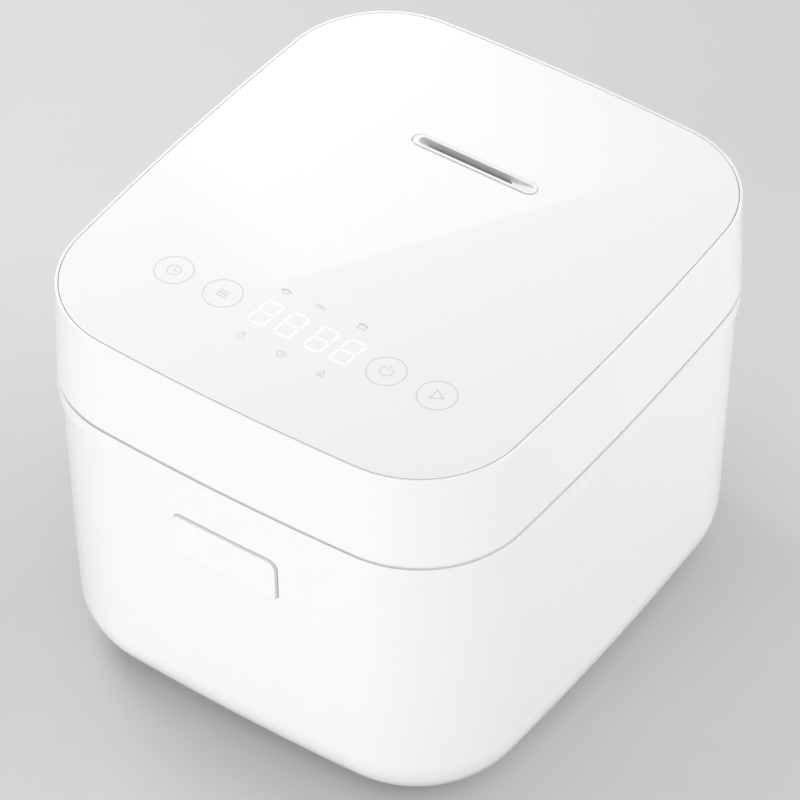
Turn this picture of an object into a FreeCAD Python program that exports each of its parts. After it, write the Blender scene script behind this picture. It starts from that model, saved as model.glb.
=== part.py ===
import FreeCAD, Part
import math
import os
from FreeCAD import Vector

# Rice cooker with a hinged lid, a lift-out pot and a front release button.
# Millimetres. Origin at the middle of the underside, +Z up, front towards -Y.

# Overall form
WIDTH = 250.0  # across the seam
DEPTH = 280.7  # front to back at the seam
HEIGHT = 220.0
SEAM_Z = 167.9  # middle of the gap between lid and body
SEAM_GAP = 1.6
SIDE_BOW_R = 1800.0  # the left and right walls bulge on this radius
END_BOW_R = 1400.0  # the front and back walls bulge on this radius
LID_CORNER_R = 55.9
BODY_CORNER_R = 61.3
LID_LEAN = 1.96  # the top rim is this much inside the seam, each side
BODY_TAPER = 3.3  # the wall moves in this much from collar to floor
BOTTOM_R = 33.5
FOOT_H = 3.0

# Fits
FIT = 0.2  # between fixed pieces
SEAT = 0.3  # between pieces of different bodies
RUN = 0.05  # running fit on pins and stems

# Body shell and base
BODY_WALL = 2.6
FLOOR_T = 2.6
BASE_MARGIN = 5.0  # flat ring outside the base plate
BASE_LAND = 10.0  # width of the ring that the base plate screws to
REBATE_D = 1.2
FOOT_R = 9.0
FOOT_EDGE = 0.8
FOOT_PLUG_R = 3.0
FOOT_INSET = 22.0  # foot centre from the edge of the base opening
VENT_COUNT = 13
VENT_PITCH = 7.0
VENT_W = 3.0
VENT_L = 38.0
VENT_Y = -38.0
SCREW_R = 1.45
SCREW_HEAD_R = 3.0
SCREW_HEAD_H = 1.6
SCREW_L = 9.0
SCREW_TIP = 1.5  # hole left beyond a screw's end
BOSS_R = 4.5
BASE_SCREW_Y = 46.0

# Collar
BAND_H = 7.7
COLLAR_WALL = 2.6
DECK_T = 3.0
DECK_SKIN = 0.8  # left above a blind screw hole in the deck
TONGUE_H = 6.0
TONGUE_T = 2.0
LEDGE_T = 2.0

# Pot, drum and heater
POT_SIDE_ROOM = 27.0  # from the side of the cooker to the pot
POT_WALL = 2.0
POT_CORNER_R = 22.0
POT_FLANGE = 10.0
POT_FLANGE_T = 1.6
POT_RIM_R = 0.5
POT_WELL_GAP = 3.0
DRUM_GAP = 5.7  # from pot to drum
DRUM_T = 0.8
DRUM_FLANGE = 7.5
DRUM_FLOOR_Z = 33.0
SUPPORT_H = 4.2
SUPPORT_R = 5.0
SUPPORT_COUNT = 3
HEATER_T = 12.0
HEATER_R = 86.0
HEATER_EDGE_R = 3.0
ELEMENT_R = 60.0
ELEMENT_W = 8.0
ELEMENT_H = 3.4
ELEMENT_SWEEP = 310.0

# Centre sensor
SENSOR_R = 19.0
SENSOR_GAP = 1.5
SENSOR_CAP_T = 3.0
SENSOR_EDGE_R = 0.8
SENSOR_STEM_R = 6.0
SENSOR_STEM_L = 20.0
GUIDE_WALL = 2.0
GUIDE_FLANGE_R = 30.0
GUIDE_FLANGE_T = 1.2
GUIDE_H = 8.0
SENSOR_SPRING_R = 11.0
SENSOR_WIRE = 1.2
SENSOR_TURNS = 4
FUSE_R = 4.0
FUSE_L = 22.0
FUSE_Y = -33.0

# Power board and inlet
BOARD_W = 110.0
BOARD_D = 62.0
BOARD_T = 1.6
BOARD_Y = 44.0
BOARD_Z = 14.6
BOARD_EDGE = 5.0
STANDOFF_R = 3.5
SMALL_SCREW_R = 1.15
SMALL_HEAD_R = 2.6
SMALL_HEAD_H = 1.5
RELAY = (20.0, 16.0, 14.5)
RELAY_FROM_EDGE = 25.0  # relay's middle from the board's left edge
TRANSFORMER = (26.0, 22.0, 14.0)
TRANSFORMER_FROM_EDGE = 29.0  # transformer's middle from the board's right edge
BLOCK_EDGE = 1.2
CAPACITOR_R = 5.0
CAPACITOR_H = 14.0
INLET_Z = 54.0
INLET_W = 28.0
INLET_H = 21.0
INLET_WALL = 2.0
INLET_BACK_T = 3.0
INLET_LENGTH = 19.0
INLET_SET_BACK = 1.0
INLET_EAR = 11.0
INLET_FLANGE_T = 2.5
INLET_LAND = 4.0
PIN_W = 4.0
PIN_T = 2.0
PIN_PITCH = 7.0
PIN_DROP = 4.0
PIN_L = 15.0
PIN_TAIL = 6.0

# Release button and latch
BUTTON_W = 60.0
BUTTON_H = 23.5
BUTTON_DROP = 26.9  # from the seam down to the button's top edge
BUTTON_PROUD = 2.0
BUTTON_CORNER_R = 4.5
BUTTON_EDGE_R = 0.5
BUTTON_GAP = 0.4
BUTTON_LIP = 3.0
BUTTON_LIP_T = 2.0
BUTTON_TRAVEL = 3.2
SLIDE_W = 28.0
SLIDE_T = 3.0
SLIDE_RISE = 8.5  # from the button's top edge up to the catch plate
CATCH_T = 2.5
CATCH_BAR = 6.0
HOOK_W = 14.0
HOOK_T = 3.0
NOSE_L = 4.0
NOSE_H = 4.0
NOSE_BEVEL = 2.8
NOSE_GRIP = 2.5  # how far the catch reaches over the nose
HOOK_ROOM = 4.0  # from the slide to the hook, for the press and the swing
HOOK_FLANGE = 5.0
HOOK_FLANGE_T = 2.0
HOOK_SWING = 2.8  # room for the hook to swing forward as the lid lifts
FRAME_T = 2.5
FRAME_GAP = 3.5
FRAME_TAB = 12.0
BUTTON_SPRING_R = 4.5
BUTTON_WIRE = 1.0
BUTTON_TURNS = 5

# Hinge
HINGE_INSET = 9.35  # axis from the back wall
HINGE_RISE = 8.8  # axis above the lid's lower edge
HINGE_HALF = 55.0
HINGE_SIDE_GAP = 0.6
HINGE_R = 12.9
HINGE_CLEAR = 0.5
PIN_R = 2.5
LUG_R = 4.7
LUG_W = 8.4
LUG_REACH = 13.0
SPRING_HALF = 26.0
SPRING_ROOM_R = 6.5
HINGE_SPRING_R = 4.6
HINGE_WIRE = 1.4
HINGE_TURNS = 12
HINGE_SCREW_X = 36.0
HINGE_SCREW_SET = 5.0

# Lid
LID_WALL = 2.4
RIM_W = 1.4
RIM_R = 1.1
PANEL_T = 2.2
PANEL_GAP = 0.15
PANEL_EDGE = 0.3
LEDGE_W = 6.0
LEDGE_H = 2.5
SHELF_T = 2.0
SHELF_W = 4.0
INNER_T = 2.2
INNER_LIFT = 0.5  # inner frame above the lid's lower edge
RECESS_R_OVER = 4.0  # recess beyond the pot's flange
RECESS_H = 6.8
LID_SCREW_IN = 7.0
LID_SCREW_SINK = 1.2
LID_SCREW_Y = 55.0
LID_BOSS_H = 10.0

# Inner lid, gasket and stud
INNER_LID_T = 1.2
INNER_LID_UP = 4.5  # inner lid above the pot's flange
GASKET_W = 6.0
GASKET_H = 4.6
GASKET_LIP_W = 3.0
STUD_R = 5.0
GROMMET_WALL = 5.0
GROMMET_LAP = 2.5
GROMMET_H = 4.4
STEAM_HOLE_R = 2.2
STEAM_HOLE_COUNT = 6
STEAM_RING_R = 7.0
LID_SENSOR_R = 5.0
LID_SENSOR_FLANGE = 3.0
LID_SENSOR_X = -42.0
LID_SENSOR_Y = -20.0

# Steam way
SLOT_L = 69.0
SLOT_W = 8.6
SLOT_Y = 58.7
SLOT_GAP = 0.25
SLOT_LIP = 1.9
SLOT_SLOPE = 9.0  # how much the ends slope in towards the bottom
SLOT_DEPTH = 9.0
SLOT_SET_DOWN = 0.35
VENT_FLANGE = 3.0
VENT_FLANGE_T = 2.0
DUCT_WALL = 2.0
DUCT_ROOM = 5.0
DUCT_BORE_R = 10.0
SEAL_WALL = 3.0

# Keys and display
KEY_XS = (-72.0, -44.8, 44.8, 72.0)
KEY_FROM_FRONT = 62.05  # key centres behind the front of the seam outline
PAD_R = 7.0
PAD_H = 10.2
DISPLAY_W = 62.0
DISPLAY_D = 23.0
PANEL_BOARD_W = 170.0
PANEL_BOARD_D = 52.0
PANEL_BOARD_EDGE = 6.0
POST_R = 4.0
BUZZER_R = 6.0
BUZZER_H = 5.0
BUZZER_BEHIND = 18.3  # buzzer behind the row of keys

# Heights that follow from the driving sizes
COLLAR_TOP = SEAM_Z - SEAM_GAP / 2
LID_BOTTOM = SEAM_Z + SEAM_GAP / 2
BODY_TOP = COLLAR_TOP - BAND_H
DECK_Z = COLLAR_TOP - DECK_T
FLOOR_TOP = FOOT_H + FLOOR_T
PANEL_Z = HEIGHT - PANEL_T
HEATER_Z = DRUM_FLOOR_Z + DRUM_T + SUPPORT_H
POT_Z = HEATER_Z + HEATER_T
FLANGE_Z = COLLAR_TOP - POT_FLANGE_T + SEAT
FLANGE_TOP = FLANGE_Z + POT_FLANGE_T
BUTTON_TOP = SEAM_Z - BUTTON_DROP
CATCH_Z = BUTTON_TOP + SLIDE_RISE
INNER_Z = LID_BOTTOM + INNER_LIFT
INNER_TOP = INNER_Z + INNER_T
CEILING_Z = INNER_Z + RECESS_H
CEILING_TOP = CEILING_Z + INNER_T
HINGE_Z = LID_BOTTOM + HINGE_RISE
INNER_LID_Z = FLANGE_TOP + INNER_LID_UP
PANEL_BOARD_Z = PANEL_Z - PAD_H - BOARD_T

# Plan positions that follow from the driving sizes
HINGE_Y = DEPTH / 2 - HINGE_INSET
HINGE_FRONT = HINGE_Y - HINGE_R
RECESS_ROOM = POT_FLANGE + RECESS_R_OVER + INNER_T
POT_R = min(WIDTH / 2 - POT_SIDE_ROOM, HINGE_FRONT - HINGE_CLEAR - RECESS_ROOM - FIT)
FLANGE_R = POT_R + POT_FLANGE
RECESS_R = FLANGE_R + RECESS_R_OVER
DRUM_R = POT_R + DRUM_GAP
BOTTOM_EDGE = BOTTOM_R - math.sqrt(BOTTOM_R ** 2 - (BOTTOM_R - FOOT_H) ** 2)
REBATE_INSET = BODY_TAPER + BOTTOM_EDGE + BASE_MARGIN
OPENING_INSET = REBATE_INSET + BASE_LAND
FOOT_X = WIDTH / 2 - OPENING_INSET - FOOT_INSET
FOOT_Y = DEPTH / 2 - OPENING_INSET - FOOT_INSET
RELAY_X = RELAY_FROM_EDGE - BOARD_W / 2
TRANSFORMER_X = BOARD_W / 2 - TRANSFORMER_FROM_EDGE
KEY_Y = KEY_FROM_FRONT - DEPTH / 2
BUZZER_Y = KEY_Y + BUZZER_BEHIND
FAR = 2 * (WIDTH + DEPTH)


def wall_inset(z):
    """Inset of the body's outer wall from the seam outline at height z."""
    return BODY_TAPER * (1 - z / BODY_TOP)


def lid_inset(z):
    """Inset of the lid's outer wall from the seam outline at height z."""
    return LID_LEAN * (z - LID_BOTTOM) / (HEIGHT - LID_BOTTOM)


BUTTON_MID_Z = BUTTON_TOP - BUTTON_H / 2
BUTTON_FACE_Y = -(DEPTH / 2 - wall_inset(BUTTON_MID_Z) + BUTTON_PROUD)
LIP_SIDE = BUTTON_W / 2 + BUTTON_LIP
LIP_INNER_Y = DEPTH / 2 - wall_inset(BUTTON_TOP - BUTTON_H - BUTTON_LIP) - BODY_WALL
LIP_Y = -(LIP_INNER_Y - LIP_SIDE ** 2 / (2 * END_BOW_R) - SEAT)
SLIDE_Y = LIP_Y + BUTTON_LIP_T
SLIDE_BACK = SLIDE_Y + SLIDE_T
HOOK_Y = SLIDE_BACK + HOOK_ROOM
HOOK_BACK = HOOK_Y + HOOK_T
NOSE_END = HOOK_BACK + NOSE_L
CATCH_EDGE = NOSE_END - NOSE_GRIP
CATCH_END = CATCH_EDGE + CATCH_BAR
NOSE_TOP = CATCH_Z - SEAT
FRAME_Y = SLIDE_BACK + 2 * BUTTON_TURNS * BUTTON_WIRE + BUTTON_TRAVEL + 2 * BUTTON_WIRE


def outline(inset, z, corner):
    """Closed outline of the cooker in plan: four bowed sides joined by tangent corner arcs."""
    side_c = Vector(WIDTH / 2 - SIDE_BOW_R, 0, 0)
    end_c = Vector(0, DEPTH / 2 - END_BOW_R, 0)
    side_r = SIDE_BOW_R - corner
    end_r = END_BOW_R - corner
    span = end_c - side_c
    along = (side_r ** 2 - end_r ** 2 + span.Length ** 2) / (2 * span.Length)
    across = math.sqrt(side_r ** 2 - along ** 2)
    ahead = Vector(span).normalize()
    corner_c = side_c + ahead * along + Vector(-ahead.y, ahead.x, 0) * across
    to_side = Vector(corner_c - side_c).normalize()
    to_end = Vector(corner_c - end_c).normalize()
    side_end = side_c + to_side * (SIDE_BOW_R - inset)
    back_end = end_c + to_end * (END_BOW_R - inset)
    corner_mid = corner_c + Vector(to_side + to_end).normalize() * (corner - inset)
    right = Vector(WIDTH / 2 - inset, 0, 0)
    back = Vector(0, DEPTH / 2 - inset, 0)

    def at(point, sx, sy):
        return Vector(point.x * sx, point.y * sy, z)

    arcs = [
        (at(side_end, 1, -1), at(right, 1, 1), at(side_end, 1, 1)),
        (at(side_end, 1, 1), at(corner_mid, 1, 1), at(back_end, 1, 1)),
        (at(back_end, 1, 1), at(back, 1, 1), at(back_end, -1, 1)),
        (at(back_end, -1, 1), at(corner_mid, -1, 1), at(side_end, -1, 1)),
        (at(side_end, -1, 1), at(right, -1, 1), at(side_end, -1, -1)),
        (at(side_end, -1, -1), at(corner_mid, -1, -1), at(back_end, -1, -1)),
        (at(back_end, -1, -1), at(back, 1, -1), at(back_end, 1, -1)),
        (at(back_end, 1, -1), at(corner_mid, 1, -1), at(side_end, 1, -1)),
    ]
    return Part.Wire([Part.Arc(*points).toShape() for points in arcs])


def prism(inset, z0, z1, corner):
    """Straight solid on the plan outline."""
    return Part.Face(outline(inset, z0, corner)).extrude(Vector(0, 0, z1 - z0))


def loft(sections, corner):
    """Solid between plan outlines, each given as an inset and a height."""
    return Part.makeLoft([outline(inset, z, corner) for inset, z in sections], True, True)


def box(x0, x1, y0, y1, z0, z1):
    """Box between two corners."""
    return Part.makeBox(x1 - x0, y1 - y0, z1 - z0, Vector(x0, y0, z0))


def rod(radius, z0, z1, x=0.0, y=0.0):
    """Upright cylinder."""
    return Part.makeCylinder(radius, z1 - z0, Vector(x, y, z0))


def rod_x(radius, x0, x1, y, z):
    """Cylinder along X."""
    return Part.makeCylinder(radius, x1 - x0, Vector(x0, y, z), Vector(1, 0, 0))


def rod_y(radius, y0, y1, x, z):
    """Cylinder along Y."""
    return Part.makeCylinder(radius, y1 - y0, Vector(x, y0, z), Vector(0, 1, 0))


def ring(inner, outer, z0, z1, x=0.0, y=0.0):
    """Upright tube."""
    return rod(outer, z0, z1, x, y).cut(rod(inner, z0, z1, x, y))


def turned(points):
    """Solid turned about the Z axis from a closed profile of radius and height."""
    corners = [Vector(radius, 0, z) for radius, z in points]
    face = Part.Face(Part.makePolygon(corners + corners[:1]))
    return face.revolve(Vector(0, 0, 0), Vector(0, 0, 1), 360)


def stadium(length, width, z, y):
    """Closed wire with straight sides along X and round ends."""
    half = length / 2 - width / 2
    r = width / 2
    a, b = Vector(-half, y - r, z), Vector(half, y - r, z)
    c, d = Vector(half, y + r, z), Vector(-half, y + r, z)
    return Part.Wire([
        Part.LineSegment(a, b).toShape(),
        Part.Arc(b, Vector(half + r, y, z), c).toShape(),
        Part.LineSegment(c, d).toShape(),
        Part.Arc(d, Vector(-half - r, y, z), a).toShape(),
    ])


def stadium_bar(length, width, z0, z1, y):
    """Upright bar on a stadium outline."""
    return Part.Face(stadium(length, width, z0, y)).extrude(Vector(0, 0, z1 - z0))


def rounded_plate(half_w, z0, z1, y0, y1, corner):
    """Plate that faces the front, with its four corners rounded."""
    plate = box(-half_w, half_w, y0, y1, z0, z1)
    edges = [e for e in plate.Edges if abs(e.tangentAt(e.FirstParameter).y) > 0.99]
    return plate.makeFillet(corner, edges)


def edges_at(shape, z):
    """Edges of a shape that lie in the level plane at z."""
    def level(edge):
        return abs(edge.BoundBox.ZMin - z) < 1e-4 and abs(edge.BoundBox.ZMax - z) < 1e-4
    return [e for e in shape.Edges if level(e)]


def joined(first, *others):
    """One solid from touching pieces."""
    return first.multiFuse(list(others)).removeSplitter()


def group(solids):
    """Separate solids that share a node."""
    return Part.makeCompound(list(solids))


def screw(x, y, seat, length, radius, head_r, head_h, up):
    """Pan-head screw whose head lies on the seat and whose shank goes up or down from it."""
    head = (seat - head_h, seat) if up else (seat, seat + head_h)
    shank = (seat, seat + length) if up else (seat - length, seat)
    return joined(rod(head_r, *head, x, y), rod(radius, *shank, x, y))


def mirrored(x, y):
    """The four places at plus and minus x and y."""
    return [(sx * x, sy * y) for sx in (-1, 1) for sy in (-1, 1)]


def coil(radius, wire, length, turns):
    """Helical spring along Z from 0 to length, as one tube on quarter-turn biarcs."""
    steps = int(turns * 4)
    rise = (length - wire) / steps
    slope = rise / (math.pi / 2)

    def point(i):
        a = i * math.pi / 2
        return Vector(radius * math.cos(a), radius * math.sin(a), wire / 2 + rise * i)

    def tangent(i):
        a = i * math.pi / 2
        return Vector(-radius * math.sin(a), radius * math.cos(a), slope).normalize()

    def arc(p, control, q):
        middle = (p + q) * 0.5
        half = (q - p).Length / 2
        reach = (control - p).Length
        sag = half * math.tan(math.acos(min(1.0, half / reach)) / 2)
        return Part.Arc(p, middle + Vector(control - middle).normalize() * sag, q).toShape()

    edges = []
    for i in range(steps):
        p, q, u, v = point(i), point(i + 1), tangent(i), tangent(i + 1)
        chord, both = q - p, u + v
        bend = 2 * (1 - u.dot(v))
        d = (math.sqrt(chord.dot(both) ** 2 + bend * chord.dot(chord)) - chord.dot(both)) / bend
        start, end = p + u * d, q - v * d
        joint = (start + end) * 0.5
        edges += [arc(p, start, joint), arc(joint, end, q)]
    section = Part.Wire(Part.makeCircle(wire / 2, point(0), tangent(0)))
    spring = Part.Wire(edges).makePipeShell([section], True, False)
    print("spring", radius, "gap between turns", round(4 * rise - wire, 2))
    return Part.Solid(spring) if spring.ShapeType == "Shell" else spring


def hinge_zone(half):
    """Space round the hinge housing that the lid keeps clear of."""
    clear = HINGE_R + HINGE_CLEAR
    below = box(-half, half, HINGE_Y - clear, DEPTH, 0, HINGE_Z)
    return joined(rod_x(clear, -half, half, HINGE_Y, HINGE_Z), below)


def body_shell():
    """Tapered outer wall with a large bottom radius, its floor ring, and bosses."""
    outer = loft([(wall_inset(0), 0), (0, BODY_TOP)], BODY_CORNER_R)
    outer = outer.makeFillet(BOTTOM_R, edges_at(outer, 0))
    above = BODY_TOP + BAND_H
    sections = [(wall_inset(z) + BODY_WALL, z) for z in (BODY_WALL, above)]
    inner = loft(sections, BODY_CORNER_R)
    inner = inner.makeFillet(BOTTOM_R - BODY_WALL, edges_at(inner, BODY_WALL))
    inner = inner.common(box(-FAR, FAR, -FAR, FAR, FLOOR_TOP, above))
    shell = outer.cut(inner).common(box(-FAR, FAR, -FAR, FAR, FOOT_H, above))
    shell = shell.cut(prism(REBATE_INSET, FOOT_H, FOOT_H + REBATE_D, BODY_CORNER_R))
    shell = shell.cut(prism(OPENING_INSET, FOOT_H, FLOOR_TOP, BODY_CORNER_R))
    bosses = [rod(BOSS_R, FLOOR_TOP, FLOOR_TOP + SCREW_L, x, y) for x, y in base_screw_places()]
    shell = joined(shell, inlet_land().common(outer), *bosses)
    for x, y in base_screw_places():
        shell = shell.cut(rod(SCREW_R + RUN, FOOT_H, FLOOR_TOP + SCREW_L, x, y))
    half_w = BUTTON_W / 2 + BUTTON_GAP
    window = rounded_plate(half_w, BUTTON_TOP - BUTTON_H - BUTTON_GAP, BUTTON_TOP + BUTTON_GAP,
                           -DEPTH, -DEPTH / 4, BUTTON_CORNER_R + BUTTON_GAP)
    return shell.cut(window).cut(inlet_hole())


def base_screw_places():
    """Places of the screws that hold the base plate."""
    return mirrored(WIDTH / 2 - (REBATE_INSET + OPENING_INSET) / 2, BASE_SCREW_Y)


def base_plate():
    """Bottom cover with cooling slots and standoffs for the power board."""
    flange = prism(REBATE_INSET + FIT, FOOT_H, FOOT_H + REBATE_D, BODY_CORNER_R)
    plate = joined(flange, prism(OPENING_INSET + FIT, FOOT_H, FLOOR_TOP, BODY_CORNER_R))
    standoffs = [rod(STANDOFF_R, FLOOR_TOP, BOARD_Z, x, y) for x, y in board_screw_places()]
    plate = joined(plate, *standoffs)
    cuts = [rod(SCREW_R + FIT, FOOT_H, FLOOR_TOP, x, y) for x, y in base_screw_places()]
    cuts += [rod(FOOT_PLUG_R + RUN, FOOT_H, FLOOR_TOP, x, y) for x, y in mirrored(FOOT_X, FOOT_Y)]
    cuts += [rod(SMALL_SCREW_R + RUN, FLOOR_TOP, BOARD_Z, x, y) for x, y in board_screw_places()]
    for i in range(VENT_COUNT):
        x = (i - (VENT_COUNT - 1) / 2) * VENT_PITCH
        left, front = x - VENT_W / 2, VENT_Y - VENT_L / 2
        cuts.append(box(left, left + VENT_W, front, front + VENT_L, 0, FLOOR_TOP))
    return plate.cut(Part.makeCompound(cuts))


def foot(x, y):
    """Rubber foot with a plug that sits in the base plate."""
    pad = rod(FOOT_R, 0, FOOT_H, x, y)
    pad = pad.makeChamfer(FOOT_EDGE, edges_at(pad, 0))
    return joined(pad, rod(FOOT_PLUG_R, FOOT_H, FLOOR_TOP, x, y))


def base_screws():
    """Screws that hold the base plate to the shell."""
    return group(screw(x, y, FOOT_H, SCREW_L, SCREW_R, SCREW_HEAD_R, SCREW_HEAD_H, True)
                 for x, y in base_screw_places())


def board_screw_places():
    """Corner holes of the power board."""
    x = BOARD_W / 2 - BOARD_EDGE
    y = BOARD_D / 2 - BOARD_EDGE
    return [(px, BOARD_Y + py) for px, py in mirrored(x, y)]


def power_board():
    """Power board on its standoffs."""
    half_w, half_d = BOARD_W / 2, BOARD_D / 2
    board = box(-half_w, half_w, BOARD_Y - half_d, BOARD_Y + half_d, BOARD_Z, BOARD_Z + BOARD_T)
    for x, y in board_screw_places():
        board = board.cut(rod(SMALL_SCREW_R + FIT, BOARD_Z, BOARD_Z + BOARD_T, x, y))
    return board


def on_board(size, x):
    """Block that stands on the power board."""
    w, d, h = size
    top = BOARD_Z + BOARD_T
    block = box(x - w / 2, x + w / 2, BOARD_Y - d / 2, BOARD_Y + d / 2, top, top + h)
    return block.makeChamfer(BLOCK_EDGE, edges_at(block, top + h))


def capacitor():
    """Round capacitor that stands on the power board."""
    top = BOARD_Z + BOARD_T
    can = rod(CAPACITOR_R, top, top + CAPACITOR_H, 0, BOARD_Y)
    return can.makeFillet(BLOCK_EDGE, edges_at(can, top + CAPACITOR_H))


def board_screws():
    """Screws of the power board."""
    length = BOARD_T + (BOARD_Z - FLOOR_TOP) / 2
    return group(screw(x, y, BOARD_Z + BOARD_T, length, SMALL_SCREW_R, SMALL_HEAD_R, SMALL_HEAD_H, False)
                 for x, y in board_screw_places())


def inlet_mouth_y():
    """Outer face of the inlet, set back from the lowest part of the wall round it."""
    low = INLET_Z - INLET_H / 2 - INLET_LAND
    bow = (INLET_W / 2 + INLET_EAR) ** 2 / (2 * END_BOW_R)
    return DEPTH / 2 - wall_inset(low) - bow - INLET_SET_BACK


def inlet_seat_y():
    """Flat face inside the wall that the inlet's flange lies on."""
    return inlet_mouth_y() - BODY_WALL - INLET_LAND


def inlet_land():
    """Flat pad inside the back wall round the inlet."""
    half_w = INLET_W / 2 + INLET_EAR
    half_h = INLET_H / 2 + INLET_LAND
    return box(-half_w, half_w, inlet_seat_y(), DEPTH / 2, INLET_Z - half_h, INLET_Z + half_h)


def inlet_hole():
    """Opening in the back wall for the inlet, with the holes of its two screws."""
    half_w, half_h = INLET_W / 2 + FIT, INLET_H / 2 + FIT
    hole = box(-half_w, half_w, inlet_seat_y(), DEPTH, INLET_Z - half_h, INLET_Z + half_h)
    holes = [rod_y(SMALL_SCREW_R + RUN, inlet_seat_y(), inlet_seat_y() + INLET_LAND, x, INLET_Z)
             for x in inlet_screw_xs()]
    return Part.makeCompound([hole] + holes)


def inlet_screw_xs():
    """Sideways places of the inlet's screws."""
    x = INLET_W / 2 + INLET_EAR / 2
    return (-x, x)


def power_inlet():
    """Appliance inlet: a socket body with a flange inside the wall."""
    half_w, half_h = INLET_W / 2, INLET_H / 2
    mouth, seat = inlet_mouth_y(), inlet_seat_y()
    back = mouth - INLET_LENGTH
    body = box(-half_w, half_w, back, mouth, INLET_Z - half_h, INLET_Z + half_h)
    flange = box(-half_w - INLET_EAR, half_w + INLET_EAR, seat - INLET_FLANGE_T, seat,
                 INLET_Z - half_h, INLET_Z + half_h)
    room = box(-half_w + INLET_WALL, half_w - INLET_WALL, back + INLET_BACK_T, mouth,
               INLET_Z - half_h + INLET_WALL, INLET_Z + half_h - INLET_WALL)
    cuts = [room] + [blade(x, z, FIT / 4) for x, z in pin_places()]
    cuts += [rod_y(SMALL_SCREW_R + FIT, seat - INLET_FLANGE_T, seat, x, INLET_Z) for x in inlet_screw_xs()]
    return joined(body, flange).cut(Part.makeCompound(cuts))


def pin_places():
    """Middles of the three blades of the inlet."""
    low, high = INLET_Z - PIN_DROP / 2, INLET_Z + PIN_DROP / 2
    return [(-PIN_PITCH, low), (0, high), (PIN_PITCH, low)]


def blade(x, z, room):
    """One upright blade, grown by the room round it."""
    back = inlet_mouth_y() - INLET_LENGTH
    half_t, half_w = PIN_T / 2 + room, PIN_W / 2 + room
    return box(x - half_t, x + half_t, back - PIN_TAIL, back + PIN_L, z - half_w, z + half_w)


def inlet_pins():
    """Blades of the inlet."""
    return group(blade(x, z, 0) for x, z in pin_places())


def inlet_screws():
    """Screws that hold the inlet's flange to the pad inside the wall."""
    face = inlet_seat_y() - INLET_FLANGE_T
    return group(joined(rod_y(SMALL_HEAD_R, face - SMALL_HEAD_H, face, x, INLET_Z),
                        rod_y(SMALL_SCREW_R, face, inlet_seat_y() + INLET_LAND, x, INLET_Z))
                 for x in inlet_screw_xs())


def well_radius():
    """Hole in the collar's deck that the pot goes through."""
    return POT_R + POT_WELL_GAP


def top_collar():
    """Ring between body and lid: band, deck with the pot's seat, and a tongue inside the body."""
    solid = prism(0, BODY_TOP, COLLAR_TOP, LID_CORNER_R)
    solid = solid.cut(prism(COLLAR_WALL, BODY_TOP, DECK_Z, LID_CORNER_R))
    inset = BODY_WALL + FIT
    ledge = prism(0, BODY_TOP, BODY_TOP + LEDGE_T, LID_CORNER_R)
    tongue = prism(inset, BODY_TOP - TONGUE_H, BODY_TOP, BODY_CORNER_R)
    hollow = prism(inset + TONGUE_T, BODY_TOP - TONGUE_H, BODY_TOP + LEDGE_T, BODY_CORNER_R)
    solid = joined(solid, joined(ledge, tongue).cut(hollow))
    solid = solid.cut(rod(well_radius(), DECK_Z, COLLAR_TOP))
    solid = solid.cut(rod(FLANGE_R + POT_WELL_GAP / 2, COLLAR_TOP - POT_FLANGE_T, COLLAR_TOP))
    hook_half = HOOK_W / 2 + HOOK_T / 2
    slot_front, slot_back = HOOK_Y - HOOK_SWING, NOSE_END + HOOK_SWING
    solid = solid.cut(box(-hook_half, hook_half, slot_front, slot_back, DECK_Z, COLLAR_TOP))
    trough = rod_x(math.hypot(HINGE_INSET, HINGE_RISE) + HINGE_CLEAR, -WIDTH, WIDTH, HINGE_Y, HINGE_Z)
    trough = trough.common(prism(COLLAR_WALL / 2, DECK_Z, COLLAR_TOP, LID_CORNER_R))
    solid = solid.cut(trough.cut(hinge_seat()))
    holes = [rod(SCREW_R + FIT, DECK_Z, COLLAR_TOP, x, y) for x, y in hinge_screw_places()]
    blind = COLLAR_TOP - DECK_SKIN
    holes += [rod(SMALL_SCREW_R + RUN, DECK_Z, blind, x, y) for x, y in frame_screw_places()]
    return solid.cut(Part.makeCompound(holes))


def hinge_seat():
    """Patch of the deck that stays level under the hinge housing."""
    half = HINGE_HALF + HINGE_SIDE_GAP / 2
    return box(-half, half, HINGE_FRONT - HINGE_CLEAR, DEPTH, 0, HEIGHT)


def heat_drum():
    """Thin drum that hangs from the collar and carries the heating plate."""
    tube = ring(DRUM_R - DRUM_T, DRUM_R, DRUM_FLOOR_Z, DECK_Z)
    floor = rod(DRUM_R, DRUM_FLOOR_Z, DRUM_FLOOR_Z + DRUM_T)
    flange = ring(DRUM_R, DRUM_R + DRUM_FLANGE, DECK_Z - DRUM_T, DECK_Z)
    cuts = [rod(SCREW_R + FIT, DRUM_FLOOR_Z, DRUM_FLOOR_Z + DRUM_T, x, y) for x, y in support_places()]
    cuts.append(rod(SENSOR_STEM_R + GUIDE_WALL + FIT, DRUM_FLOOR_Z, DRUM_FLOOR_Z + DRUM_T))
    return joined(tube, floor, flange).cut(Part.makeCompound(cuts))


def support_places():
    """Places of the posts under the heating plate."""
    r = HEATER_R - 2 * SUPPORT_R
    turns = [math.pi / 2 + 2 * math.pi * i / SUPPORT_COUNT for i in range(SUPPORT_COUNT)]
    return [(r * math.cos(a), r * math.sin(a)) for a in turns]


def heater_supports():
    """Posts between the drum's floor and the heating plate."""
    z = DRUM_FLOOR_Z + DRUM_T
    return group(ring(SCREW_R + FIT, SUPPORT_R, z, HEATER_Z, x, y) for x, y in support_places())


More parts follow.
